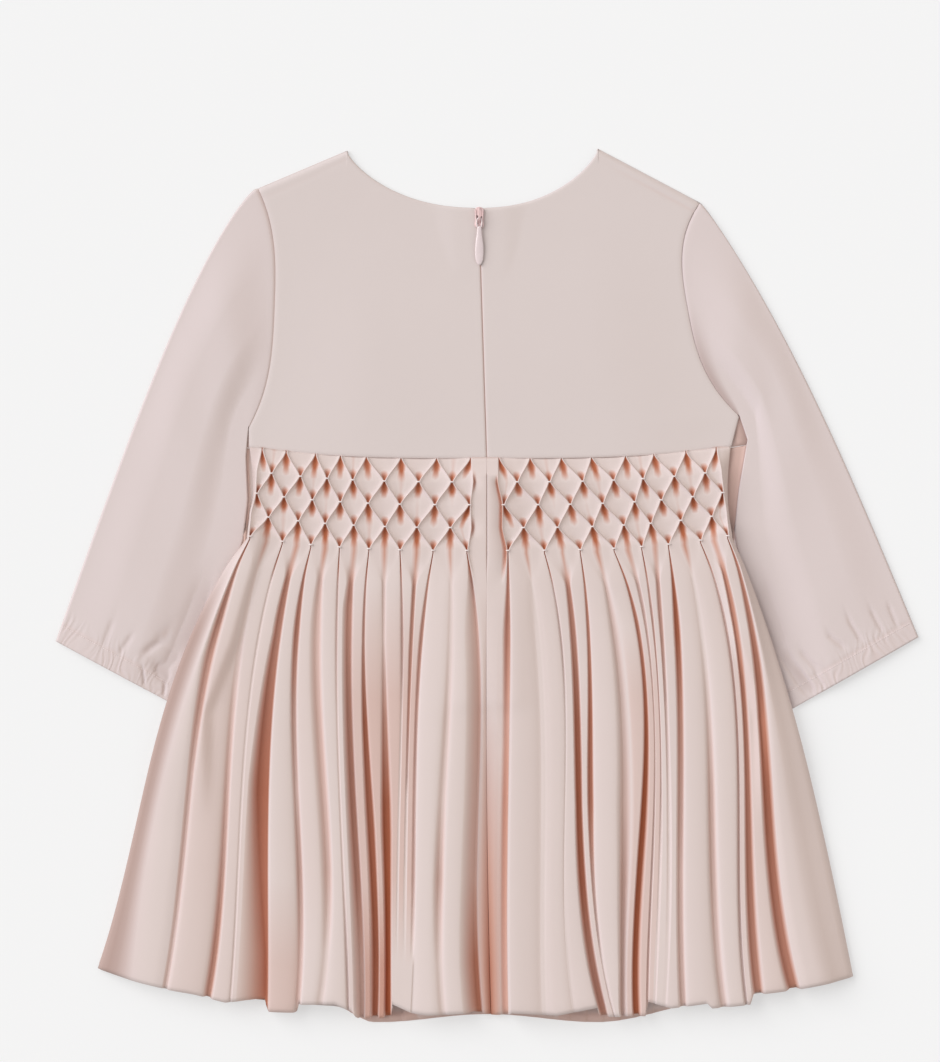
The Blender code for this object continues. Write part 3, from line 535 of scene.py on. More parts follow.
class Paint:
    """A material whose nodes are added one at a time."""

    def __init__(self, name, **constants):
        self.material = bpy.data.materials.new(name)
        self.material.use_nodes = True
        self.tree = self.material.node_tree
        self.shader = self.tree.nodes["Principled BSDF"]
        for socket, value in constants.items():
            self.shader.inputs[socket.replace("_", " ")].default_value = value

    def node(self, kind, settings, inputs, out=0):
        """A node with its settings and inputs, as a wire from one of its outputs."""
        made = self.tree.nodes.new(kind)
        for name, value in settings.items():
            setattr(made, name, value)
        for name, value in inputs.items():
            if isinstance(value, Wire):
                self.tree.links.new(value.socket, made.inputs[name])
            else:
                made.inputs[name].default_value = value
        return Wire(self, made.outputs[out])

    def field(self, name):
        """A number stored at the piece's points."""
        return self.node("ShaderNodeAttribute", {"attribute_name": name}, {}, "Fac")

    def place(self):
        """The place on the piece, in metres."""
        return self.node("ShaderNodeTexCoord", {}, {}, "Object")

    def noise(self, place, scale, detail=2.0):
        """Noise of so many grains a metre."""
        return self.node("ShaderNodeTexNoise", {}, {"Vector": place, "Scale": scale, "Detail": detail}, "Fac")

    def blend(self, share, a, b):
        """The colour a, or the colour b where share is 1."""
        return self.node("ShaderNodeMix", {"data_type": "RGBA"}, {0: share, 6: rgba(a), 7: rgba(b)}, 2)

    def to_shader(self, **links):
        """The finished material, its wires joined to the shader's inputs."""
        for socket, wire in links.items():
            self.tree.links.new(wire.socket, self.shader.inputs[socket.replace("_", " ")])
        return self.material


def rgba(colour):
    """A wire as it is, or three numbers with an alpha of 1."""
    return colour if isinstance(colour, Wire) else (*tuple(colour)[:3], 1.0)


def tinted(colour, shares):
    """A colour with each of its parts multiplied."""
    return [part * share for part, share in zip(colour, shares)]


def cloth_material(name, colour, valley, deep):
    """Soft crepe: a fine weave on the cloth's own grid, faint mottling, and painted shade, warmer and deeper
    in colour, in the folds.

    As painted light, cloth that turns right is a little peachier and cloth that turns left a little cooler.
    The base colour then runs through valley to deep as the depth field of painted shade grows, and to a
    greyer painted shade where it is below 0.
    """
    paint = Paint(name, Sheen_Weight=0.12, Sheen_Roughness=0.45, Specular_IOR_Level=0.22)
    place = paint.place()
    depth = paint.field("depth")
    turn = paint.field("facing")
    mottle = paint.noise(place, 28.0)
    base = paint.blend((mottle - 0.5) * 0.5 + 0.25, colour, tinted(colour, MOTTLE_TINT))
    # painted light: cloth turned to the right warmer, cloth turned to the left cooler
    base = paint.blend((turn * 2.2).within() * 0.8, base, tinted(colour, PAINTED_WARM_LIGHT_TINT))
    base = paint.blend((turn * -2.2).within() * 0.8, base, tinted(colour, PAINTED_COOL_LIGHT_TINT))
    # painted shade: greyer where the depth is below 0, warmer and darker into the folds as it grows
    base = paint.blend((depth * -1.0).within(), base, tinted(colour, SHADE_TINT))
    base = paint.blend((depth * 2.0).within(), base, valley)
    base = paint.blend((depth * 2.0 - 1.0).within(), base, deep)
    flat = paint.node("ShaderNodeUVMap", {"uv_map": "cloth"}, {})
    threads = paint.node("ShaderNodeSeparateXYZ", {}, {0: flat}, "X")
    rows = paint.node("ShaderNodeSeparateXYZ", {}, {0: flat}, "Y")
    pitch = 2.0 * math.pi / WEAVE_PITCH
    weave = (threads * pitch).sine() * (rows * pitch).sine()
    soft = paint.noise(place, 60.0, 3.0)
    height = weave * 0.00002 + soft * 0.0003
    bump = paint.node("ShaderNodeBump", {}, {"Strength": 0.35, "Distance": 1.0, "Height": height}, "Normal")
    return paint.to_shader(Base_Color=base, Roughness=mottle * 0.1 + 0.76, Normal=bump)


def shaded(depth, amount):
    """Depths with a slight shade, below 0, where the cloth lies high: depth - amount (1 - ease(4 depth))."""
    return depth - amount * (1.0 - ease(4.0 * np.maximum(depth, 0.0)))


def caught_at(side, row):
    """Distances of a row's tacks, halfway between the neighbours of the row above, a little unevenly."""
    caught = mix(side.pairs[:, 0], side.pairs[:, 1], row / TACK_ROWS)
    if row % 2:
        caught = (caught[1:] + caught[:-1]) / 2
    inside = 0.45 if 0 < row < TACK_ROWS else 0.0
    return caught + inside * np.sin(row * 2.7 + np.arange(len(caught)) * 1.9 + side.sign)


def fold_places(side, place):
    """Distance of each of the sixteen folds at every place down the band, in a slight S from tack to tack."""
    folds = np.zeros((TACK_ROWS + 1, 2 * len(side.pairs)))
    for row in range(TACK_ROWS + 1):
        caught = caught_at(side, row)
        first, last = mix(side.pairs[[0, -1], 0], side.pairs[[0, -1], 1], row / TACK_ROWS)
        if row % 2 == 0:
            folds[row, 0::2] = caught - CAUGHT_HALF
            folds[row, 1::2] = caught + CAUGHT_HALF
        else:
            folds[row, 1:-1:2] = caught - CAUGHT_HALF
            folds[row, 2:-1:2] = caught + CAUGHT_HALF
            folds[row, 0] = first - 2.0
            folds[row, -1] = last + 1.2
    row = np.minimum(place.astype(int), TACK_ROWS - 1)
    share = (place - row)[:, None]
    return mix(folds[row], folds[row + 1], mix(share, ease(share), 0.35))


# Places across a pleat's top, across the centre strip with its first fold, and across the outermost pleat
TOP_STEPS = np.array((0.0, 0.08, 0.2, 0.36, 0.5, 0.64, 0.8, 0.92, 1.0))
STRIP_STEPS = np.array((0.0, 0.04, 0.1, 0.76, 0.9, 1.0))
RIDGE_STEPS = np.array((0.3, 0.7, 1.0))
PLEAT_STRIP_STEPS = np.concatenate([STRIP_STEPS * 0.8, 0.8 + 0.2 * RIDGE_STEPS])
SLOPE_IN = np.array((0.35, 0.7, 1.0))
SLOPE_OUT = np.array((0.0, 0.3, 0.65))
EDGE_IN = np.array((0.0, 0.33, 0.66, 1.0))
EDGE_OUT = np.array((0.25, 0.5, 0.72, 0.88, 1.0))
BAND_EDGE_FALL = (np.array((1.0, 1.03, 1.03, 0.98, 0.86, 0.7, 0.55, 0.42, 0.34)) - 0.34) / 0.66


def join_columns(tops, gaps, tail):
    """One row of columns from the pleats' tops (rows, 16, 9), the gaps (rows, 15, 7) and the rolled edge."""
    rows, gap_count = gaps.shape[:2]
    inner = np.concatenate([tops[:, :gap_count], gaps], axis=2).reshape(rows, -1)
    return np.concatenate([inner, tops[:, gap_count], tail], axis=1)


def gap_places(near, far, a, b):
    """Seven places across each gap: down one slope to the share a, over the floor, and up from b."""
    a, b = a[..., None], b[..., None]
    share = np.concatenate([a * SLOPE_IN, (a + b) / 2, b + (1.0 - b) * SLOPE_OUT], axis=-1)
    return mix(near[..., None], far[..., None], share), share


def rolled_edge(edge):
    """Places and heights of the two last columns, which roll in under the outer edge."""
    return np.concatenate([edge, edge - 0.3], 1), np.tile((2.2, FOLD_ROUND), (len(edge), 1))


def sunk_fold(side, p):
    """The fold between the strip and the first tacks: all the way down on the right, two pits on the left."""
    return ease((p - 0.6) / 0.5) if side.sign > 0 else 0.8 * dip(p % 2.0 - 1.0, 0.6)


def band_edge(side, p, last):
    """The band's outer edge, nipped in between the waist and the last tacks, outside the last fold."""
    edge = mix(side.measures["waist"] - EDGE_TUCK, side.edge[0], p / TACK_ROWS)
    return np.maximum(edge - side.measures["band_nip"] * np.sin(math.pi * p / TACK_ROWS), last + 1.2)


def band_tops(side, p, folds, top, edge):
    """Nine places, heights and depths across the band's strip, each of its ridges and its edge pleat."""
    start, end = folds - FOLD_HALF, folds + FOLD_HALF
    tops = mix(start[..., None], end[..., None], TOP_STEPS)
    # the ridges' round crowns flatten towards the last tacks
    crown = (0.45 - 0.38 * ease((p - 3.5) / 0.5))[..., None] * (1.0 - (2.0 * TOP_STEPS - 1.0) ** 2)
    height = top[..., None] + crown + np.zeros(tops.shape)
    seam = np.full((len(p), 1), side.sign * SEAM_LINE[0])
    strip, last = start[:, :1], folds[:, -1:]
    tops[:, 0] = np.concatenate([mix(seam, strip, STRIP_STEPS), mix(strip, end[:, :1], RIDGE_STEPS)], 1)
    sunk = sunk_fold(side, p)
    strip_height = STRIP_HEIGHT + np.array((-0.6, 0.0, 0.02, 0.15, 0.2, 0.5))
    strip_height = strip_height - sunk * np.array((0.0, 0.0, 0.0, 0.1, 1.5, 1.7))
    ridge = mix(STRIP_HEIGHT + 0.5, top, np.array((0.8, 1.0, 1.0))) + np.array((0.2, 0.4, 0.0))
    height[:, 0] = np.minimum(np.concatenate([strip_height, ridge], 1), top + 0.4)
    over = last + 0.3
    tops[:, -1] = np.concatenate([mix(last - FOLD_HALF, over, EDGE_IN), mix(over, edge, EDGE_OUT)], 1)
    height[:, -1] = PLEAT_FLOOR + (top - PLEAT_FLOOR) * BAND_EDGE_FALL
    # painted shade on the tops: a little at the seam, in the sunk fold beside the strip, and along the outer
    # edge, greyer below 0
    flat = np.zeros(height.shape)
    flat[:, 0] = np.interp(np.arange(9), (0, 1, 5, 6), (0.12, 0.02, 0.02, 0.0))
    flat[:, 0, 3:7] += sunk * np.array((0.0, 0.6, 0.75, 0.5))
    flat[:, -1] += 0.35 * np.array(side.measures["edge_shade"])
    return tops, height, flat


def pit_depths(side, p, share, gap, odd, offset):
    """How much painted shade the cells get: a long shaded pit fades downwards from each tack and a short one
    upwards.
    """
    aside = (share - 0.5) * gap[..., None]
    index = np.arange(gap.shape[1])
    reach = 0.98 + 0.24 * np.sin(index * 3.3 + np.floor((p + odd) / 2.0) * 1.9)
    # the last odd row's pits run on into the valleys below
    reach = np.where((p > TACK_ROWS - 1) & (odd == 1), 1.7, reach)
    below = 0.98 * (offset >= 0.0) * (1.0 - ease((offset - 0.38) / (reach - 0.38)))
    above = 0.9 * (offset < 0.0) * (1.0 - ease((-offset - 0.15) / 0.4))
    deep = below[..., None] * np.exp(-((aside / (2.4 - 1.1 * ease(offset)[..., None])) ** 4))
    deep = deep + above[..., None] * np.exp(-((aside / 1.9) ** 4))
    # in some cells a faint line of painted shade, as of a crease, joins the two pits
    line = 0.2 * (0.5 + 0.5 * np.sin(index * 2.1 + p * 0.8 + side.sign)) ** 2
    deep = deep + line[..., None] * np.clip(1.0 - np.abs(2.0 * share - 1.0) / 0.4, 0.0, 1.0)
    return shaded(deep, CELL_SHADE)


def band_cells(side, p, near, far, top):
    """Seven places, heights and depths across each gap between two ridges.

    The cloth between two folds that meet is pushed down near their tack and lies high in the open cell. The
    offset runs from -1 to 1 about each tack, in rows.
    """
    slope = np.full(near.shape, 0.42)
    gaps, share = gap_places(near, far, slope, 1.0 - slope)
    odd = np.arange(near.shape[1]) % 2
    offset = (p - 0.00001 - odd + 1.0) % 2.0 - 1.0
    cell = np.interp(offset, CELL_PLACES, CELL_HEIGHTS) * top / BAND_TOP
    cell = np.minimum(cell, top - 0.5)
    cell = mix(cell, top - 0.12, ease((p - 3.5) / 0.5) * odd)[..., None]
    middle = 1.0 - np.abs(2.0 * share - 1.0) ** 2
    bowl = mix(middle**0.9, middle**0.7, ease((np.abs(offset) - 0.5) / 0.4)[..., None])
    return gaps, mix(top[..., None], cell, bowl), pit_depths(side, p, share, far - near, odd, offset)


def band_grid(side, place):
    """Distances, heights, depths and y of the smocked band, a row for each place down it."""
    folds = fold_places(side, place)
    p = place[:, None]
    top = mix(BAND_SEAM_TOP, BAND_TOP, ease(p * 0.9))
    edge = band_edge(side, p, folds[:, -1:])
    tops, top_height, top_depth = band_tops(side, p, folds, top, edge)
    near, far = folds[:, :-1] + FOLD_HALF, folds[:, 1:] - FOLD_HALF
    gaps, gap_height, gap_depth = band_cells(side, p, near, far, top)
    tail, tail_height = rolled_edge(edge)
    distance = join_columns(tops, gaps, tail)
    heights = join_columns(top_height, gap_height, tail_height)
    depth = join_columns(top_depth, gap_depth, np.zeros(tail.shape))
    y = mix(waist_y(distance) - SEAM_GAP, band_y(distance), p / TACK_ROWS)
    return distance, y, heights, depth


def valley_starts(side):
    """Where the valleys begin: at each of the last tacks and halfway between them."""
    caught = side.pairs[:, 1]
    starts = np.zeros(2 * len(caught) - 1)
    starts[0::2] = caught
    starts[1::2] = (caught[1:] + caught[:-1]) / 2
    return starts


def valley_runs(side, v, seam, crest_edge):
    """The valleys' middle lines, the widths of their slopes on both sides and their depths, for every v.

    Below the last tacks each pair of folds parts slowly and the cloth between the pairs fills out. The slopes
    narrow where two valleys come close, so that at least LEAST_PANEL stays between them.
    """
    table = side.valleys
    near, far = (
        between(WIDTH_STATIONS, [table[name + number] for number in "123"], v) for name in ("near", "far")
    )
    deep = between(DEPTH_STATIONS, [table["d" + number] for number in "12345"], v)
    near, far = near * (1.0 + 0.3 * deep), far * (1.0 + 0.3 * deep)
    v = v[:, None]
    starts = valley_starts(side)
    tacked = np.arange(len(starts)) % 2 == 0
    first_width = np.where(tacked, 0.5, 1.4)
    near, far = mix(first_width, near, ease(v / 0.2)), mix(first_width, far, ease(v / 0.2))
    deep = mix(np.where(tacked, 0.6, 0.1), deep, ease(v / np.where(tacked, 0.1, 0.09)))
    middle = along(np.array([starts, table["upper"], table["lower"], table["hem"]]), v)
    squeeze = np.clip((np.diff(middle) - LEAST_PANEL) / (far[:, :-1] + near[:, 1:]), 0.15, 1.0)
    far[:, :-1] *= squeeze
    near[:, 1:] *= squeeze
    far[:, -1:] = np.minimum(far[:, -1:], 0.6 * (crest_edge - middle[:, -1:]))
    near[:, :1] = np.minimum(near[:, :1], 0.5 * (middle[:, :1] - seam))
    return middle, near, far, deep


def pleat_rises(side, v):
    """The crests' heights as shares of the full height: the centre strip first, then the pleats."""
    table = side.valleys
    level = np.ones(len(table["rise"]))
    rise = between((0.08, 0.32, 0.72, 0.9), [level, table["rise"], table["rise"], table["rise_hem"]], v)
    strip = between((0.0, 0.12, 0.42), [[0.88], [0.8], [STRIP_RISE]], v)
    return np.concatenate([strip, rise], 1)


def pleat_tops(side, v, start, end, crest, edge):
    """Nine places and heights across the centre strip and each pleat, from start to end and out to the edge.

    A wide pleat is crowned, by 1 - |2 t - 1|^3 across it, and leans a little to one side. The strip climbs
    from the seam, and the outermost pleat falls away to the silhouette.
    """
    width = end - start
    tops = mix(start[..., None], end[..., None], TOP_STEPS)
    crown = 1.0 - np.abs(2.0 * TOP_STEPS - 1.0) ** 3
    bulge = np.clip(0.06 * (width - 3.5), 0.0, 0.8) * ease(v * 8.0)
    lean = np.sin(np.arange(width.shape[1]) * 2.4 + 1.0 + side.sign)
    lean = lean * np.clip(0.09 * (width - 4.0), 0.0, 1.2) * ease(v * 5.0)
    height = crest[..., None] + bulge[..., None] * crown + lean[..., None] * (TOP_STEPS - 0.5)
    seam_height = mix(STRIP_HEIGHT - 0.1, PLEAT_FLOOR, ease(v / 0.5))
    tops[:, 0] = mix(start[:, :1], end[:, :1], PLEAT_STRIP_STEPS)
    climb = np.interp(PLEAT_STRIP_STEPS, (0.0, 0.04, 0.3, 0.6, 1.0), (-0.25, 0.05, 0.6, 1.0, 1.0))
    height[:, 0] = mix(seam_height, crest[:, :1], climb)
    last_start, last_end = start[:, -1:], end[:, -1:]
    tops[:, -1] = np.concatenate([mix(last_start, last_end, EDGE_IN), mix(last_end, edge, EDGE_OUT)], 1)
    slope = np.interp(EDGE_OUT, (0.0, 0.3, 0.6, 0.85, 1.0), (0.97, 0.66, 0.42, 0.3, 0.0))
    slope = slope * (crest[:, -1:] - PLEAT_FLOOR) + PLEAT_FLOOR
    height[:, -1] = np.concatenate([crest[:, -1:] * (1.0, 1.02, 1.02, 0.97), slope], 1)
    return tops, height


def pleat_gaps(side, v, start, end, near, far, deep, height, crest):
    """Seven places, heights and depths across each valley: a slope down, a floor and a slope up.

    Each slope falls as 1 - (1 - t)^1.5 from its pleat, and no valley is deeper than ROOM of its own width.
    """
    table = side.valleys
    ramp = between((0.55, 0.9), [table["ramp"], table["ramp_hem"]], v)
    a = 0.6 * near / (near + far)
    b = 1.0 - ramp * far / (near + far)
    gaps, share = gap_places(end[:, :-1], start[:, 1:], a, b)
    a, b = a[..., None], b[..., None]
    first, last = height[:, :-1, -1:], height[:, 1:, :1]
    low = np.minimum(crest[:, :-1], crest[:, 1:])
    bottom = (low - np.minimum(deep * (low - PLEAT_FLOOR), ROOM * (near + far)))[..., None]
    into = 1.0 - (1.0 - np.clip(1.0 - share / a, 0.0, 1.0)) ** 1.5
    out = 1.0 - (1.0 - np.clip((share - b) / (1.0 - b), 0.0, 1.0)) ** 1.5
    gap_height = bottom + (first - bottom) * into + (last - bottom) * out
    # painted shade, darkest on the valley's floor
    hollow = np.minimum(share / a, (1.0 - share) / (1.0 - b))
    return gaps, gap_height, deep[..., None] * np.clip(hollow, 0.0, 1.0) ** 1.2


def pleat_depths(side, v, rises, gap_depth, tail):
    """How dark the pleats are: low ones in shade, and the centre strip darkest at its seam in the recess."""
    top_depth = np.clip(1.1 * (1.0 - rises), 0.0, 1.0)[..., None] + np.zeros(9)
    recess = np.interp(v, (0.0, 0.3, 0.45, 0.72, 0.9), (0.02, 0.05, 0.2, 0.6, 0.85))
    top_depth[:, 0] = recess * (1.0 - 0.65 * PLEAT_STRIP_STEPS)
    top_depth[:, -1] = np.array(side.measures["edge_shade"]) * ease(v * 4.0)
    return shaded(join_columns(top_depth, gap_depth, np.zeros(tail.shape)), side.measures["pleat_shade"])


def pleat_grid(side, v):
    """Distances, lifts of the hem, heights and depths of the pleats, a row for each v from band to hem."""
    rises = pleat_rises(side, v)
    down = v[:, None]
    seam = side.sign * along(np.array(SEAM_LINE), down)
    crest_edge, edge = along(np.array(side.crest), down), along(np.array(side.edge), down)
    middle, near, far, deep = valley_runs(side, v, seam, crest_edge)
    crest = mix(CREST_TOP, CREST_HEM, down) * rises
    start = np.concatenate([seam, middle + far], 1)
    end = np.concatenate([middle - near, crest_edge], 1)
    tops, height = pleat_tops(side, down, start, end, crest, edge)
    gaps, gap_height, gap_depth = pleat_gaps(side, v, start, end, near, far, deep, height, crest)
    tail, tail_height = rolled_edge(edge)
    distance = join_columns(tops, gaps, tail)
    # the hem in a valley is drawn up a little
    drawn = join_columns(np.zeros(height.shape), 1.2 * gap_depth, np.zeros(tail.shape))
    raised = np.interp(distance[-1], *np.array(side.hem).T) + drawn
    heights = join_columns(height, gap_height, tail_height)
    return distance, raised, heights, pleat_depths(side, down, rises, gap_depth, tail)


def skirt_back_surface(side):
    """The skirt's back half: the smocked band, then the pleats, led out of the band's folds."""
    place = np.linspace(0.0, TACK_ROWS, 65)
    v = np.concatenate([np.linspace(0.0, 0.1, 17)[1:], np.linspace(0.1, 1.0, 92)[1:]])
    band_distance, y, band_height, band_depth = band_grid(side, place)
    away, raised, height, depth = pleat_grid(side, v)
    # the pleats set off in their own direction from the last tacks, and take their own form a little lower
    led = ease(v / BLEND_END)[:, None]
    away = away + (band_distance[-1:] - away[:1]) * (1.0 - led)
    y = np.concatenate([y, mix(band_y(away), hem_y(away) + raised, v[:, None])])
    distance = np.concatenate([band_distance, away])
    height = np.concatenate([band_height, mix(band_height[-1:], height, led)])
    depth = np.concatenate([band_depth, mix(band_depth[-1:], depth, led)])
    # the hem's own fold turns down
    height[-2:] = np.maximum(height[-2:] - np.array((0.15, 0.7))[:, None], FOLD_ROUND)
    height = height + margin_lift(side, distance, y, MARGIN_EARLY) + zip_lift(side.sign * distance, y)
    # the top edge turns down into the waist seam and runs on a little under the bodice
    height[:2] -= np.array((0.5, 0.12))[:, None]
    grid = np.dstack([distance, y, height])
    tucked = grid[:1] + np.array((0.0, 1.6, -1.4))
    # the row tucked under the bodice gets a little more painted shade
    return to_page(side, np.concatenate([tucked, grid])), np.concatenate([depth[:1] + 0.2, depth])


def armhole_bow(s):
    """How far the armhole is bowed at s along it: 1 - |2 s - 1|^3."""
    return 1.0 - np.abs(2.0 * s - 1.0) ** 3


def bodice_side(side, up):
    """The bodice's outer edge at up: the side seam, then the armhole, a chord bowed inwards."""
    corner = np.array((side.measures["waist"], waist_y(side.measures["waist"])))
    low, high = np.array(side.measures["underarm"]), np.array(side.measures["shoulder"])
    s = np.clip((up - SIDE_SHARE) / (1.0 - SIDE_SHARE), 0.0, 1.0)[:, None]
    round_it = mix(low, high, s)
    round_it[:, 0] -= side.measures["armhole_curve"] * armhole_bow(s[:, 0])
    return np.where(up[:, None] < SIDE_SHARE, mix(corner, low, up[:, None] / SIDE_SHARE), round_it)


def neck_curve(side, depth_y, turn):
    """The neckline from the shoulder's neck point to the middle: a quarter of a rounded square."""
    x_far, y_far = side.measures["neck"]
    middle = side.sign * ZIP_X_TOP
    x = middle + (x_far - middle) * np.cos(turn) ** 0.9
    y = y_far - (y_far - depth_y) * np.sin(turn) ** 1.5
    return np.column_stack([x, y])


def shoulder_line(side, share):
    """The shoulder from the armhole to the neck, straight."""
    far, near = np.array(side.measures["shoulder"]), np.array(side.measures["neck"])
    return mix(far, near, share[:, None])


def rim(distance, size):
    """How far a rim of that depth and width turns down at a distance from the seam."""
    depth, width = size
    return depth * dip(distance, width)


def panel(top, first, last, keep):
    """A grid for a bodice panel between its side edges. Columns between the neck points run straight down."""
    ends = np.array([top[0, 0], *keep, top[-1, 0]])
    order = np.argsort(ends)
    held = np.column_stack([first[:, 0], *[np.full(len(first), k) for k in keep], last[:, 0]])[:, order]
    spot = np.interp(top[:, 0], ends[order], np.arange(len(ends)))
    left = np.minimum(spot.astype(int), len(ends) - 2)
    x = mix(held[:, left], held[:, left + 1], spot - left)
    y = mix(first[:, 1:], last[:, 1:], (x - first[:, :1]) / (last[:, :1] - first[:, :1]))
    up = np.linspace(0.0, 1.0, len(first))[:, None]
    y = y + (1.0 - up) * (waist_y(x[:1]) - y[:1]) + up * (top[:, 1] - y[-1:])
    return np.dstack([x, y])


def crowded(count, near):
    """Places from 0 to 1 with three more close to each end."""
    ends = np.array((0.0, 0.25, 0.55)) * near
    return np.concatenate([ends, np.linspace(near, 1.0 - near, count), 1.0 - ends[::-1]])


def rims(grid):
    """Lengths from each point to the grid's first and last column and first and last row."""
    across = np.cumsum(np.linalg.norm(np.diff(grid, axis=1), axis=-1), axis=1)
    up = np.cumsum(np.linalg.norm(np.diff(grid, axis=0), axis=-1), axis=0)
    across = np.concatenate([np.zeros((len(grid), 1)), across], 1)
    up = np.concatenate([np.zeros((1, grid.shape[1])), up], 0)
    return across, across[:, -1:] - across, up, up[-1:] - up


def resample(grid, rows):
    """The grid's rows read again at other places from 0 to 1."""
    spot = rows * (len(grid) - 1)
    i = np.minimum(spot.astype(int), len(grid) - 2)
    return mix(grid[i], grid[i + 1], (spot - i)[:, None, None])


def bodice_back_surface(side):
    """Half of the bodice's back: the flat panel, puffed below, its rims turned down into the seams."""
    up = np.linspace(0.0, 1.0, 181)
    outer = bodice_side(side, up)
    share = crowded(26, 0.03)
    turn = np.concatenate([np.linspace(0.0, 1.0, 52)[1:] * 0.985, [0.992, 0.997, 1.0]]) * math.pi / 2
    top = np.vstack([shoulder_line(side, share), neck_curve(side, NECK_BACK_Y, turn)])
    centre_y = mix(waist_y(0.0), top[-1, 1], up)
    centre = np.column_stack([side.sign * zip_x(centre_y), centre_y])
    grid = resample(panel(top, outer, centre, side.measures["neck"][:1]), crowded(104, 0.01))
    from_side, from_zip, from_waist, from_top = rims(grid)
    # the neckline turns down beside the slider
    grid[..., 1] -= 1.5 * dip(from_zip, 3.0) * dip(from_top, 6.0)
    page = to_page(side, grid)
    fullness = ease(from_side / from_side[:, -1:] * 2.0) * (1.0 - ease((grid[..., 1] - PUFF_START) / 110.0))
    level = BACK_LEVEL + WALL + np.maximum(BODICE_PUFF * fullness, zip_lift(page[..., 0], page[..., 1]))
    at_shoulder = np.arange(grid.shape[1]) < len(share)
    level -= rim(from_waist, WAIST_RIM) + rim(from_side, SIDE_RIM) + rim(from_zip, ZIP_RIM)
    level -= np.where(at_shoulder, rim(from_top, SHOULDER_RIM), rim(from_top, NECK_RIM))
    # the shoulder seam, a little down the back from the fold, runs out at the neck
    seam = from_top - SHOULDER_SEAM_BACK
    level -= np.where(at_shoulder, rim(seam, SHOULDER_SEAM), 0.0)
    # painted shade in the shoulder seam, along the side, in the waist seam and in the zip's slit
    shade = np.where(at_shoulder, 0.12 * dip(seam, 0.9), 0.0) + 0.04 * dip(from_side, 0.7)
    shade += 0.1 * dip(from_waist, 0.6) + 0.25 * dip(from_zip, 0.5)
    return np.dstack([page, level]), shade


def bodice_front_surface():
    """The bodice's front, whole, on the table, with its side and shoulder rims turned up to meet the back."""
    up = np.linspace(0.0, 1.0, 61)
    left, right = to_page(LEFT, bodice_side(LEFT, up)), to_page(RIGHT, bodice_side(RIGHT, up))
    share = np.linspace(0.0, 1.0, 14)
    turn = np.linspace(0.0, math.pi / 2, 26)[1:]
    top = np.vstack([
        to_page(LEFT, shoulder_line(LEFT, share)),
        to_page(LEFT, neck_curve(LEFT, NECK_FRONT_Y, turn)),
        to_page(RIGHT, neck_curve(RIGHT, NECK_FRONT_Y, turn[:-1])[::-1]),
        to_page(RIGHT, shoulder_line(RIGHT, share)[::-1]),
    ])
    for side, outer in ((LEFT, left), (RIGHT, right)):
        # below the arm the side runs out to the sleeve that lies beside it
        reach = np.maximum(sleeve_inner_edge(side, outer[:, 1]) + FRONT_UNDER, np.abs(outer[:, 0]))
        outer[:, 0] = np.where(up < SIDE_SHARE, side.sign * reach, outer[:, 0])
    page = panel(top, left, right, (-LEFT.measures["neck"][0], RIGHT.measures["neck"][0]))
    from_left, from_right, _, from_top = rims(page)
    columns = np.arange(page.shape[1])
    at_shoulder = np.minimum(columns, columns[::-1]) < len(share)
    level = rim(np.minimum(from_left, from_right), FRONT_RIM)
    level = np.maximum(level, np.where(at_shoulder, rim(from_top, FRONT_RIM), 0.0))
    return np.dstack([page, level])


def beyond(grid):
    """The shade of the front's strip that shows between the back's side and the sleeve."""
    return 0.3 * ease((np.abs(grid[..., 0]) - WAIST_HALF) / 2.0) * (grid[..., 1] > BAND_Y)


def edge_line(side, place):
    """The skirt's silhouette from the waist (-1) through the band's end (0) to the hem (1)."""
    return np.where(
        place <= 0.0,
        mix(side.edge[0], side.measures["waist"] - EDGE_TUCK, -place),
        along(np.array(side.edge), place),
    )


def wave(t):
    """A wave between 0 and 1 with a crest at every whole number."""
    return 0.5 + 0.5 * np.cos(2.0 * math.pi * t)


def front_relief(place, steps):
    """Relief of the front's folds: a faint honeycomb in the band, and knife pleats pressed flat below it."""
    folds, rows = steps * FRONT_FOLDS / 2.0, np.abs(place) * TACK_ROWS / 2.0
    smocked = np.minimum(wave(folds + rows), wave(folds - rows))
    pressed = np.tile((0.0, 0.15, 0.35, 0.6, 0.1), FRONT_FOLDS)
    return np.where(place <= 0.0, 0.5 * smocked, pressed * ease(place * 8.0))


def front_hem(side, distance):
    """The front's hem, which shows below the back's on both sides of the middle and hides further out."""
    inside = distance < PEEK_MIDDLE
    shows = dip(distance - PEEK_MIDDLE, np.where(inside, PEEK_FADE, side.measures["peek_fade"]))
    return hem_y(distance) + mix(np.where(inside, 0.0, HEM_HIDDEN), -FRONT_PEEK, shows)


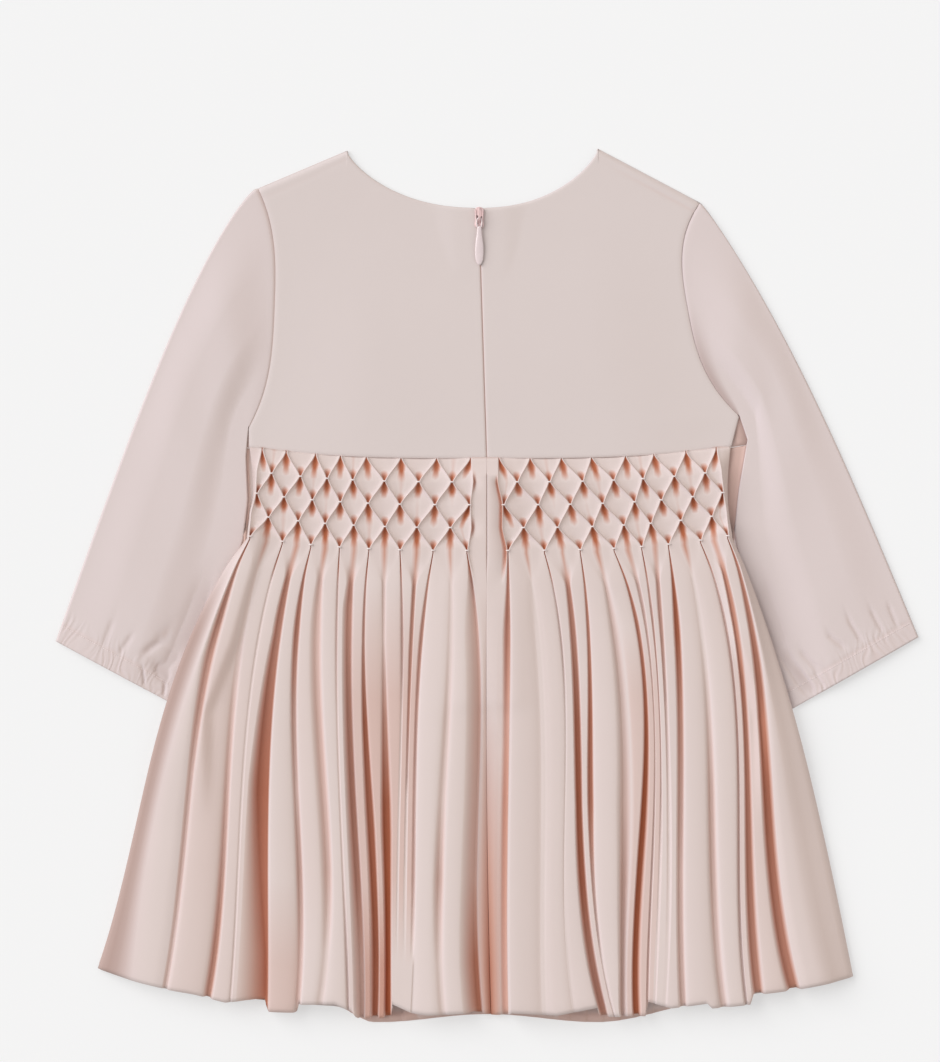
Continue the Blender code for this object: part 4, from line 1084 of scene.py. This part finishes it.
def skirt_front_half(side, place):
    """Half of the skirt's front on the table: its folds, each of five columns, and a plain margin."""
    place = place[:, None]
    edge = edge_line(side, place) - 0.6
    reach = sleeve_inner_edge(side, mix(band_y(140.0), waist_y(140.0), -place)) + FRONT_UNDER
    edge = mix(edge, np.maximum(edge, reach), ease(1.0 - place * 20.0))
    far_end = np.where(place <= 0.0, waist_y(edge), hem_y(edge))
    fold = np.minimum(sleeve_inner_edge(side, mix(band_y(edge), far_end, np.abs(place))), edge - WALL)
    margin = fold - MARGIN_RUN - 4.0
    steps = (np.arange(FRONT_FOLDS)[:, None] + np.array((0.0, 0.3, 0.6, 0.86, 0.93))).ravel() / FRONT_FOLDS
    out = np.linspace(0.0, 1.0, 14)
    distance = np.concatenate([steps * margin, mix(margin, edge, out)], 1)
    relief = np.concatenate([front_relief(place, steps), np.zeros((len(place), len(out)))], 1)
    rolled = np.concatenate([np.zeros(len(steps)), 0.9 * ease((out - 0.86) / 0.14)])
    in_band = mix(band_y(distance), waist_y(distance) - SEAM_GAP, -place)
    y = np.where(place <= 0.0, in_band, mix(band_y(distance), front_hem(side, distance), place))
    return np.dstack([side.sign * distance, y, relief + rolled + margin_lift(side, distance, y)])


def skirt_front_surface():
    """The skirt's front from side to side, both halves meeting at the middle."""
    place = np.concatenate([np.linspace(-1.0, 0.0, 34), np.linspace(0.0, 1.0, 64)[1:]])
    left, right = skirt_front_half(LEFT, place), skirt_front_half(RIGHT, place)
    return np.concatenate([left[:, :0:-1], right], axis=1)


def sleeve_point(side, v, s):
    """Points of the laid sleeve at v, from armhole to cuff, and s, from the inner edge to the outer edge."""
    steps = np.linspace(0.0, 1.0, len(side.inner))
    u = v ** (1.6 - 0.4 * v)
    near = np.dstack([np.interp(u, steps, side.inner[:, 1]), np.interp(u, steps, side.inner[:, 0])])
    shoulder, cuff = np.array(side.measures["shoulder"]), np.array(side.measures["cuff_outer"])
    chord = cuff - shoulder
    normal = np.array([-chord[1], chord[0]]) / np.hypot(*chord)
    bow = side.measures["sleeve_bow"] * np.sin(math.pi * v ** side.measures["bow_power"])
    outer = mix(shoulder, cuff, v[..., None]) + normal * bow[..., None]
    points = mix(near, outer, s[..., None])
    sag = side.measures["armhole_curve"] * (1.0 - v) ** 5
    points[..., 0] += ARMHOLE_GAP - sag * armhole_bow(s) ** (1.0 + 12.0 * v)
    return points


def crease(v, s, spec):
    """A soft groove round the straight line between two places on the sleeve, fading at its ends."""
    v0, s0, v1, s1, half, depth = spec
    dv, ds = v1 - v0, s1 - s0
    # the sleeve is long and narrow, so the way down it counts more than the way across
    t = np.clip(((v - v0) * dv * 6.0 + (s - s0) * ds) / (dv**2 * 6.0 + ds**2), 0.0, 1.0)
    away = np.hypot((v - mix(v0, v1, t)) * SLEEVE_LENGTH, (s - mix(s0, s1, t)) * SLEEVE_BREADTH)
    return depth * np.exp(-((away / half) ** 2)) * np.clip(4.0 * t * (1.0 - t) + 0.35, 0.0, 1.0)


def sleeve_rows():
    """Places of the sleeve's rings from armhole to cuff, closer at both ends."""
    first = [0.0, 0.0021, 0.005, 0.01, 0.02]
    return np.concatenate([first, np.linspace(0.03, 0.9, 44)[:-1], np.linspace(0.9, 1.0, 26)])


def bilinear(grid, row, column):
    """The grid read between its points."""
    i = np.clip(row.astype(int), 0, grid.shape[0] - 2)
    j = np.clip(column.astype(int), 0, grid.shape[1] - 2)
    a, b = (row - i)[:, None], (column - j)[:, None]
    return mix(mix(grid[i, j], grid[i, j + 1], b), mix(grid[i + 1, j], grid[i + 1, j + 1], b), a)


def in_casing(v):
    """1 in the casing at the wrist, 0 above its seam."""
    return ease((v - CASING_START) / 0.008)


def on_casing_seam(v):
    """1 on the casing's seam, falling off within a millimetre: exp(-t^2)."""
    return np.exp(-(((v - CASING_START) / 0.003) ** 2))


def gathers(side, v, s):
    """The gathers' waves, and their strength, which fades towards both edges.

    Waves of three pitches drift against each other, so that no two gathers are alike.
    """
    wobble = 0.35 * np.sin(s * 21.0 + side.sign) + 0.5 * np.sin(s * 9.0 + 40.0 * v)
    wobble = wobble + 0.25 * np.sin(s * 33.0 - 70.0 * v)
    waves = [np.cos(2.0 * math.pi * (pitch * s + wobble * k)) for k, pitch in enumerate(GATHERS, 1)]
    strength = (0.75 + 0.25 * np.sin(s * 17.0 + 2.0 * side.sign)) * ease((s - 0.1) * 6.0)
    return 0.5 * waves[0] + 0.45 * waves[1] + 0.4 * waves[2], strength * ease((1.0 - s) * 20.0)


def sleeve_height(v, s, gathered, groove):
    """The upper cloth's height: puffed along its middle, gathered at the wrist, and creased."""
    body = ease((s - PRESSED_SHARE) / 0.25) * ease((1.0 - s) / 0.3)
    above = ease((v - 0.925) / 0.035) * (1.0 - in_casing(v))
    height = LAID_TOP + mix(SLEEVE_PUFF, CUFF_PUFF, v) * ease(v * 5.0) * body
    height += gathered * (0.19 * in_casing(v) + 0.17 * above)
    height -= 0.25 * on_casing_seam(v) * ease((1.0 - s) * 12.0) + groove
    height += 0.35 * np.sin(7.0 * s + 9.0 * v) * np.sin(11.0 * v + 1.0) * ease(v * 4.0) * body
    return np.maximum(height, LAID_TOP - 0.9)


def sleeve_shade(side, v, s, gather, strength, groove):
    """How dark the upper cloth is: in its seams and gathers, its creases, and beside the lower armhole."""
    down = v * SLEEVE_LENGTH
    shade = 0.04 * dip(down, 0.9) + 0.05 * on_casing_seam(v)
    shade += 0.05 * in_casing(v) * strength * (0.5 - 0.5 * gather) - 0.14 * groove
    return shade - side.measures["armpit_shade"] * dip(down, 22.0) * (1.0 - ease((s - 0.15) / 0.45))


def sleeve_surface(side):
    """A sleeve as one tube: underneath from the inner to the outer edge, then back again on top.

    Both edges are round folds, where the cloth rises as a quarter circle of radius FOLD_ROUND.
    """
    v = sleeve_rows()[:, None]
    under = np.linspace(0.0, 1.0, UNDER_COLUMNS + 2)[1:-1][None]
    over = np.linspace(0.0, 1.0, OVER_COLUMNS)[None, ::-1]
    s = np.concatenate([under, over], 1) + np.zeros_like(v)
    inner, outer = (sleeve_point(side, v, np.full(v.shape, end)) for end in (0.0, 1.0))
    width = np.linalg.norm(outer - inner, axis=-1)
    v = v + np.zeros_like(s)
    points = sleeve_point(side, v, s)
    gather, strength = gathers(side, v, s)
    groove = sum(crease(v, s, spec) for spec in side.creases)
    height = sleeve_height(v, s, gather * strength, groove)
    bend = np.minimum(np.minimum(s, 1.0 - s) * width / FOLD_ROUND, 1.0)
    bend = np.sqrt(bend * (2.0 - bend))
    on_top = np.arange(s.shape[1])[None] >= UNDER_COLUMNS
    level = np.where(on_top, FOLD_ROUND + (height - FOLD_ROUND) * bend, FOLD_ROUND * (1.0 - bend))
    down = v * SLEEVE_LENGTH
    level = level - 0.28 * on_top * dip(down, 1.8)
    # the first ring is the seam's edge, tucked under the bodice
    tuck = on_top * dip(down, 0.5)
    points[..., 0] -= 1.5 * tuck
    shade = on_top * sleeve_shade(side, v, s, gather, strength, groove)
    return to_page(side, np.dstack([points, level - 1.2 * tuck])), shade


def tape_surface():
    """The zip's tape, flat between the front and the back, with a ribbed edge."""
    y = np.linspace(ZIP_TOP_Y, ZIP_END_Y, 180)[:, None]
    across = np.linspace(-1.0, 1.0, 41)[None]
    x = zip_x(y) + TAPE_HALF * across
    level = BACK_LEVEL + TAPE_THICK + 0.06 * np.cos(across * 40.0) * (np.abs(across) > 0.75)
    return np.dstack([x, y + 0 * across, level + 0 * y])


def tube(path, radius, sides=12, flat=1.0, up=(0.0, 0.0, 1.0)):
    """A round or flattened tube along a path: centre + r cos a across it + flat r sin a over it."""
    path = np.asarray(path, float)
    tangent = unit(np.gradient(path, axis=0))
    across = unit(np.cross(tangent, np.asarray(up)))
    rise = np.cross(across, tangent)
    a = np.linspace(0.0, 2.0 * math.pi, sides, endpoint=False)[None, :, None]
    r = np.broadcast_to(np.asarray(radius, float), (len(path),))[:, None, None]
    return path[:, None] + r * (np.cos(a) * across[:, None] + flat * np.sin(a) * rise[:, None])


def spindle(path, half, thick, sides=20, power=1.0):
    """A solid along +Y: each ring is (half cos a, 0, thick sin a), squared off where power is below 1."""
    a = np.linspace(0.0, 2.0 * math.pi, sides, endpoint=False)[None, :]
    x = np.sign(np.cos(a)) * np.abs(np.cos(a)) ** power * np.asarray(half)[:, None]
    z = np.sign(np.sin(a)) * np.abs(np.sin(a)) ** power * np.asarray(thick)[:, None]
    return np.asarray(path, float)[:, None] + np.dstack([x, 0.0 * x, z])


def metal_piece(name, shells, body, material, node=None):
    """One piece from grids of closed rings, each wound so that its volume is positive."""
    points, faces, count = [], [], 0
    for grid in shells:
        quads = grid_faces(*grid.shape[:2], True)
        flat = grid.reshape(-1, 3)
        centred = (flat - flat.mean(0))[quads]
        if np.einsum("ij,ij->", centred[:, 0], np.cross(centred[:, 1], centred[:, 2])) < 0.0:
            quads = quads[:, ::-1]
        points.append(flat)
        faces.append(quads + count)
        count += len(flat)
    piece = put_mesh(name, np.vstack(points), np.vstack(faces))
    piece.data.materials.append(material)
    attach(piece, body)
    if node:
        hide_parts(node)
    return piece


def in_hinge(points, droop=0.0):
    """Points about the pull's hinge, +Y towards the neck, turned down by droop and put in their place."""
    x, y, z = np.moveaxis(np.asarray(points, float), -1, 0)
    cos, sin = math.cos(droop), math.sin(droop)
    turned = np.stack([x, y * cos - z * sin, y * sin + z * cos], -1)
    return turned + np.array((zip_x(HINGE_Y), HINGE_Y, HINGE_Z))


def slider_shells():
    """The slider's rounded body with its two shoulders, the raised bridge and a ridge down each side."""
    base = -AXIS_OVER - SLIDER_THICK / 2
    y = np.linspace(SLIDER_BACK, SLIDER_FRONT, 25)
    t = (y - SLIDER_BACK) / (SLIDER_FRONT - SLIDER_BACK)
    ends = np.sqrt(np.clip(1.0 - np.abs(2.0 * t - 1.0) ** 8, 0.0, 1.0))
    half = (SLIDER_HALF + 0.35 * np.cos(2.0 * math.pi * (t - 0.1))) * ends + 0.02
    body = spindle(np.column_stack([0 * y, y, base + 0 * y]), half, 0.6 * ends + 0.01, 20, 0.6)
    turn = np.linspace(0.0, math.pi, 15)
    bridge = np.column_stack([0 * turn, 2.1 - 3.8 * np.cos(turn), -1.1 + 2.45 * np.sin(turn) ** 0.6])
    arch = tube(bridge, 0.7, 12, 0.5, (1.0, 0.0, 0.0))
    arch = bridge[:, None] + (arch - bridge[:, None]) * np.array((0.85, 0.75, 0.75))
    run = np.linspace(-1.0, 1.0, 13)
    ridge_radius = 0.42 * np.sqrt(np.clip(1.0 - run**6, 0.01, 1.0))
    shells = [body, arch]
    for sign in (-1.0, 1.0):
        line = np.column_stack([sign * (1.95 + 0.2 * run), 1.2 + 4.2 * run, np.full(13, base + 0.6)])
        shells.append(tube(line, ridge_radius, 10, 0.8))
    return [in_hinge(shell) for shell in shells]


def hole_shells():
    """The openings beside and below the bridge: shallow bowls in the slider's top, painted dark for the shade
    inside them.
    """
    a = np.linspace(0.0, 2.0 * math.pi, 14, endpoint=False)[None]
    t = np.linspace(0.0, math.pi / 2, 5)[:, None]
    level = -AXIS_OVER + 0.03 + 0.12 * np.sin(t) + 0 * a
    return [
        in_hinge(np.dstack([x + rx * np.cos(t) * np.cos(a), y + ry * np.cos(t) * np.sin(a), level]))
        for x, y, rx, ry in SLIDER_HOLES
    ]


def pull_shells():
    """The pull: a loop round the hinge and a long drop, widest two thirds of the way down and domed."""
    t = 0.5 - 0.5 * np.cos(np.linspace(0.0, 1.0, 34) * math.pi)
    down = PULL_TOP + PULL_LENGTH * t
    upper = PULL_NECK + (PULL_HALF - PULL_NECK) * ease(t / PULL_WIDEST)
    tip = np.clip((t - PULL_WIDEST) / (1.0 - PULL_WIDEST), 0.0, 1.0)
    lower = PULL_HALF * np.sqrt(np.clip(1.0 - tip**2.6, 0.0, 1.0)) + 0.02
    half = np.where(t < PULL_WIDEST, upper, lower) * np.sqrt(np.clip(t * 30.0, 0.02, 1.0))
    thick = 0.62 * np.minimum(half / 1.3, 1.0)
    drop = spindle(np.column_stack([0 * down, -down, 0 * down]), half, thick, 24)
    turn = np.linspace(-0.25, math.pi + 0.25, 21)
    loop = np.column_stack([LOOP_HALF * np.cos(turn), -2.2 + 2.4 * np.sin(turn), 0 * turn])
    foot = np.array(((1.1, -4.9, 0.0),))
    loop = np.vstack([foot, loop, foot * (-1.0, 1.0, 1.0)])
    return [in_hinge(shell, PULL_DROOP) for shell in (drop, tube(loop, 0.45, 10))]


def stitch_piece(name, centres, directions, normals, length, radius, material):
    """Small capsules of seven rings of six points along their directions, arched off the cloth."""
    t = np.array((-1.0, -0.92, -0.6, 0.0, 0.6, 0.92, 1.0))[:, None, None]
    a = np.linspace(0.0, 2.0 * math.pi, 6, endpoint=False)[:, None]
    ring = radius * np.sqrt(np.clip(1.0 - np.abs(t) ** 6, 0.03, 1.0))
    lift = radius * 1.1 * (1.0 - t**2)
    centres, directions, normals = (array[:, None, None] for array in (centres, directions, normals))
    across = np.cross(normals, directions)
    spine = centres + directions * (length / 2.0) * t + normals * lift
    points = spine + (np.cos(a) * across + np.sin(a) * normals) * ring
    one = grid_faces(len(t), len(a), closed=True)
    faces = (one[None] + (np.arange(len(centres)) * len(t) * len(a))[:, None, None]).reshape(-1, 4)
    piece = put_mesh(name, points.reshape(-1, 3), faces)
    piece.data.materials.append(material)
    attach(piece, "dress")
    return piece


class DressSizes(bpy.types.PropertyGroup):
    """Thicknesses and lengths of cloth and thread."""

    cloth: FloatProperty(
        name="Cloth thickness", description="Thickness of the single cloth", default=0.0007, min=0.0003,
        max=0.0012, unit="LENGTH", subtype="DISTANCE",
    )
    stitch: FloatProperty(
        name="Thread radius", description="Radius of the casing's stitches", default=0.00016,
        min=0.0001, max=0.0006, unit="LENGTH", subtype="DISTANCE",
    )
    tack: FloatProperty(
        name="Tack length", description="Length of the stitch that catches two folds of the smocking",
        default=0.0024, min=0.001, max=0.005, unit="LENGTH", subtype="DISTANCE",
    )


class DressColours(bpy.types.PropertyGroup):
    """Colours of the cloth, the painted shade in its folds, the thread and the zip."""

    bodice: FloatVectorProperty(
        name="Bodice", description="Colour of the bodice", subtype="COLOR",
        default=(0.690, 0.606, 0.582), min=0, max=1,
    )
    sleeve: FloatVectorProperty(
        name="Sleeves", description="Colour of the sleeves", subtype="COLOR",
        default=(0.700, 0.604, 0.586), min=0, max=1,
    )
    skirt: FloatVectorProperty(
        name="Skirt", description="Colour of the skirt and smocking", subtype="COLOR",
        default=(0.725, 0.618, 0.585), min=0, max=1,
    )
    # painted shade: part of the way into a fold, and at the bottom of the deepest folds
    valley: FloatVectorProperty(
        name="Fold shade", description="Colour part of the way into a fold", subtype="COLOR",
        default=(0.60, 0.35, 0.28), min=0, max=1,
    )
    deep: FloatVectorProperty(
        name="Deep fold", description="Colour at the bottom of the deepest folds", subtype="COLOR",
        default=(0.43, 0.13, 0.06), min=0, max=1,
    )
    thread: FloatVectorProperty(
        name="Thread", description="Colour of the thread", subtype="COLOR",
        default=(0.86, 0.76, 0.74), min=0, max=1,
    )
    zip: FloatVectorProperty(
        name="Zip", description="Colour of the zip's tape", subtype="COLOR",
        default=(0.66, 0.42, 0.41), min=0, max=1,
    )
    slider: FloatVectorProperty(
        name="Slider", description="Colour of the zip's slider", subtype="COLOR",
        default=(0.76, 0.55, 0.54), min=0, max=1,
    )
    pull: FloatVectorProperty(
        name="Pull", description="Colour of the zip's pull", subtype="COLOR",
        default=(0.74, 0.63, 0.63), min=0, max=1,
    )


class StageSettings(bpy.types.PropertyGroup):
    """The camera above the table, the lights and the table's colour."""

    camera_height: FloatProperty(
        name="Camera height", description="Height of the camera above the table",
        default=2.4, min=0.5, max=6.0, unit="LENGTH", subtype="DISTANCE",
    )
    view_height: FloatProperty(
        name="View height", description="Length of table from the picture's top to its bottom",
        default=0.5974, min=0.1, max=3.0, unit="LENGTH", subtype="DISTANCE",
    )
    key: FloatProperty(
        name="Key light", description="Strength of the light from the upper left",
        default=2.5, min=0.0, max=10.0,
    )
    fill: FloatProperty(
        name="Fill light", description="Strength of the light from the right",
        default=0.5, min=0.0, max=10.0,
    )
    sky: FloatProperty(
        name="Room light", description="Strength of the even light from all round",
        default=0.43, min=0.0, max=10.0,
    )
    floor: FloatVectorProperty(
        name="Floor", description="Colour of the table", subtype="COLOR",
        default=(0.905, 0.907, 0.907), min=0, max=1,
    )


def sizes():
    """The dress's sizes as they are set in the scene."""
    return bpy.context.scene.dress_sizes


def colours():
    """The dress's colours as they are set in the scene."""
    return bpy.context.scene.dress_colours


def cloth_of(name, colour):
    """The cloth material of that name, made the first time that it is asked for."""
    found = bpy.data.materials.get(name)
    return found or cloth_material(name, colour, colours().valley, colours().deep)


def thread_material():
    """Sewing thread with a fine twist, made the first time that it is asked for."""
    found = bpy.data.materials.get("thread")
    if found:
        return found
    paint = Paint("thread", Sheen_Weight=0.1, Specular_IOR_Level=0.4)
    twist = paint.noise(paint.place(), 2500.0)
    base = paint.blend(twist * 0.4, colours().thread, tinted(colours().thread, (0.9, 0.9, 0.9)))
    return paint.to_shader(Base_Color=base, Roughness=twist * 0.2 + 0.45)


def zip_material(name, colour, rough):
    """Painted metal under a clear coat, a little cloudy."""
    paint = Paint(name, Coat_Weight=0.5, Coat_Roughness=0.15, Specular_IOR_Level=0.5)
    cloud = paint.noise(paint.place(), 320.0)
    base = paint.blend(cloud * 0.5, colour, [min(1.0, c * 1.1) for c in colour])
    return paint.to_shader(Base_Color=base, Roughness=cloud * 0.12 + rough)


def thick():
    """The single cloth's thickness in millimetres."""
    return sizes().cloth / MM


class DRESS_OT_bodice(bpy.types.Operator):
    """Lay the bodice's front and the two halves of its back."""

    bl_idname = "dress.bodice"
    bl_label = "Bodice"

    def execute(self, context):
        cloth = cloth_of("bodice_crepe", colours().bodice)
        grid = bodice_front_surface()
        front = cloth_piece("bodice_front", grid, beyond(grid), cloth, thick(), flip=True)
        cloth_area(grid)
        for side in SIDES:
            grid, shade = bodice_back_surface(side)
            back = cloth_piece("bodice_back_" + side.name, grid, shade, cloth, thick(), flip=side.sign > 0)
            area = cloth_area(grid)
        return {"FINISHED"}


class DRESS_OT_skirt(bpy.types.Operator):
    """Lay the skirt's front and the two smocked and pleated halves of its back."""

    bl_idname = "dress.skirt"
    bl_label = "Skirt"

    def execute(self, context):
        cloth = cloth_of("skirt_crepe", colours().skirt)
        grid = skirt_front_surface()
        # painted shade on the front's strip beside the sleeve and on its hem where it shows below the back
        shade = beyond(grid) + 0.3 * (grid[..., 1] < hem_y(grid[..., 0]) + 1.0)
        front = cloth_piece("skirt_front", grid, shade, cloth, thick())
        cloth_area(grid)
        for side in SIDES:
            grid, depth = skirt_back_surface(side)
            back = cloth_piece("skirt_back_" + side.name, grid, depth, cloth, thick() / 2, flip=side.sign > 0)
            area = cloth_area(grid)
        return {"FINISHED"}


class DRESS_OT_sleeves(bpy.types.Operator):
    """Lay the two long sleeves with their gathered casings."""

    bl_idname = "dress.sleeves"
    bl_label = "Sleeves"

    def execute(self, context):
        cloth = cloth_of("sleeve_crepe", colours().sleeve)
        for side in SIDES:
            grid, shade = sleeve_surface(side)
            node, turned = "sleeve_" + side.name, side.sign < 0
            sleeve = cloth_piece(node, grid, shade, cloth, thick(), closed=True, flip=turned)
            area = cloth_area(grid, True)
        return {"FINISHED"}


class DRESS_OT_stitches(bpy.types.Operator):
    """Sew the tacks of the smocking and the stitch line of each casing."""

    bl_idname = "dress.stitches"
    bl_label = "Stitches"

    def execute(self, context):
        for side in SIDES:
            self.tacks(side)
            self.casing(side)
        return {"FINISHED"}

    def casing(self, side):
        """A row of short stitches along the seam of the sleeve's casing."""
        grid, _ = sleeve_surface(side)
        s = np.linspace(0.03, 0.97, 68)
        v = np.full(len(s), CASING_START + 0.004)
        rows = sleeve_rows()
        row = np.interp(v, rows, np.arange(len(rows)))
        column = UNDER_COLUMNS + (1.0 - s) * (OVER_COLUMNS - 1)
        centres = bilinear(grid, row, column)
        directions = unit(bilinear(grid, row, column + 1.0) - bilinear(grid, row, column - 1.0))
        down = bilinear(grid, row + 0.5, column) - bilinear(grid, row - 0.5, column)
        normals = unit(np.cross(directions, down))
        normals *= np.where(normals[:, 2:] < 0.0, -1.0, 1.0)
        radius = sizes().stitch / MM
        name = "casing_stitches_" + side.name
        stitch_piece(name, centres, directions, normals, 1.0, radius, thread_material())

    def tacks(self, side):
        """A stitch across each pair of folds that the smocking catches."""
        centres = []
        for row in range(1, TACK_ROWS + 1):
            caught = caught_at(side, row)
            y = mix(waist_y(caught) - SEAM_GAP, band_y(caught), row / TACK_ROWS)
            top = mix(BAND_SEAM_TOP, BAND_TOP, ease(row * 0.9)) + 0.45
            x = side.sign * caught
            level = top + margin_lift(side, caught, y, MARGIN_EARLY) + zip_lift(x, y)
            centres.append(np.column_stack([x, y, level]))
        centres = np.vstack(centres)
        count = len(centres)
        along_x = np.tile((1.0, 0.0, 0.0), (count, 1))
        up = np.tile((0.0, 0.0, 1.0), (count, 1))
        length = sizes().tack / MM
        name = "smocking_tacks_" + side.name
        stitch_piece(name, centres, along_x, up, length, TACK_RADIUS, thread_material())


class DRESS_OT_zip(bpy.types.Operator):
    """Set in the zip's tape and give the slider and pull their painted finish."""

    bl_idname = "dress.zip"
    bl_label = "Zip"

    def execute(self, context):
        cloth = cloth_of("tape_cloth", colours().zip)
        grid = tape_surface()
        tape = cloth_piece("zip_tape", grid, np.zeros(grid.shape[:2]), cloth, 0.5, flip=True)
        paint = zip_material("slider_paint", colours().slider, 0.3)
        metal_piece("zip_slider_shell", slider_shells(), "dress", paint, "zip_slider")
        # the openings are painted dark, a quarter of the tape's colour, for the shade inside them
        hollow = zip_material("slider_hole_shade", tinted(colours().zip, (0.25, 0.25, 0.25)), 0.6)
        metal_piece("zip_slider_shaded_holes", hole_shells(), "dress", hollow)
        paint = zip_material("pull_paint", colours().pull, 0.2)
        metal_piece("zip_pull_shell", pull_shells(), "pull", paint, "zip_pull")
        return {"FINISHED"}


class DRESS_OT_stage(bpy.types.Operator):
    """Set up the pale table, the soft studio light and the camera straight above."""

    bl_idname = "dress.stage"
    bl_label = "Stage"

    def execute(self, context):
        stage = context.scene.dress_stage
        corners = TABLE_HALF * np.array([(-1, -1, 0), (1, -1, 0), (1, 1, 0), (-1, 1, 0)])
        floor = put_mesh("stage_floor", corners, np.array([[0, 1, 2, 3]]))
        # the table is a softly lit screen, which keeps the shadows on it faint
        paint = Paint("stage_paper", Roughness=0.9, Specular_IOR_Level=0.0, Emission_Strength=0.5)
        paint.shader.inputs["Emission Color"].default_value = rgba(stage.floor)
        grain = paint.noise(paint.place(), 3.0)
        half = tinted(stage.floor, (0.5, 0.5, 0.5))
        base = paint.blend(grain * 0.02, half, tinted(half, (0.99, 0.99, 0.99)))
        floor.data.materials.append(paint.to_shader(Base_Color=base))
        self.sun("key", stage.key, (1.0, 0.99, 0.995), (-1.0, 0.5, 0.85), 55.0)
        self.sun("fill", stage.fill, (1.0, 0.93, 0.88), (1.0, -0.3, 0.8), 60.0)
        world = bpy.data.worlds.new("room")
        world.use_nodes = True
        back = world.node_tree.nodes["Background"]
        back.inputs["Color"].default_value = (1.0, 1.0, 1.0, 1.0)
        back.inputs["Strength"].default_value = stage.sky
        context.scene.world = world
        context.scene.view_settings.view_transform = "Standard"
        camera = bpy.data.objects.new("camera", bpy.data.cameras.new("camera"))
        camera.data.sensor_width = SENSOR
        camera.data.lens = SENSOR * stage.camera_height / stage.view_height
        camera.data.clip_end = 20.0
        camera.location = (*PICTURE_MIDDLE, stage.camera_height)
        context.scene.collection.objects.link(camera)
        context.scene.camera = camera
        return {"FINISHED"}

    def sun(self, name, strength, colour, direction, spread):
        """A soft sun that shines from a direction, spread over so many degrees."""
        light = bpy.data.lights.new(name, "SUN")
        light.energy = strength
        light.color = colour
        light.angle = math.radians(spread)
        lamp = bpy.data.objects.new(name, light)
        x, y, z = direction
        lamp.rotation_euler = (math.atan2(math.hypot(x, y), z), 0.0, math.atan2(x, -y))
        bpy.context.scene.collection.objects.link(lamp)


OPERATORS = (
    DRESS_OT_bodice,
    DRESS_OT_skirt,
    DRESS_OT_sleeves,
    DRESS_OT_stitches,
    DRESS_OT_zip,
    DRESS_OT_stage,
)


class DRESS_PT_panel(bpy.types.Panel):
    """The dress's pieces, sizes and colours."""

    bl_idname = "DRESS_PT_panel"
    bl_label = "Smocked dress"
    bl_space_type = "VIEW_3D"
    bl_region_type = "UI"
    bl_category = "Smocked dress"

    def draw(self, context):
        for group in (context.scene.dress_sizes, context.scene.dress_colours, context.scene.dress_stage):
            box = self.layout.box()
            for name in group.bl_rna.properties.keys():
                if name not in ("rna_type", "name"):
                    box.prop(group, name)
        for operator in OPERATORS:
            self.layout.operator(operator.bl_idname)


GROUPS = {"dress_sizes": DressSizes, "dress_colours": DressColours, "dress_stage": StageSettings}


def register():
    """Make the settings, the operators and the panel known, and put the settings into the scene."""
    for group in GROUPS.values():
        bpy.utils.register_class(group)
    for name, group in GROUPS.items():
        setattr(bpy.types.Scene, name, PointerProperty(type=group))
    for kind in (*OPERATORS, DRESS_PT_panel):
        bpy.utils.register_class(kind)


def unregister():
    """Take away all that register made."""
    for kind in (DRESS_PT_panel, *OPERATORS[::-1]):
        bpy.utils.unregister_class(kind)
    for name, group in GROUPS.items():
        delattr(bpy.types.Scene, name)
        bpy.utils.unregister_class(group)


def main():
    """Build the stage and the dress."""
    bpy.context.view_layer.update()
    register()
    bpy.ops.dress.stage()
    bpy.ops.dress.bodice()
    bpy.ops.dress.sleeves()
    bpy.ops.dress.skirt()
    bpy.ops.dress.zip()
    bpy.ops.dress.stitches()


if __name__ == "__main__":
    main()
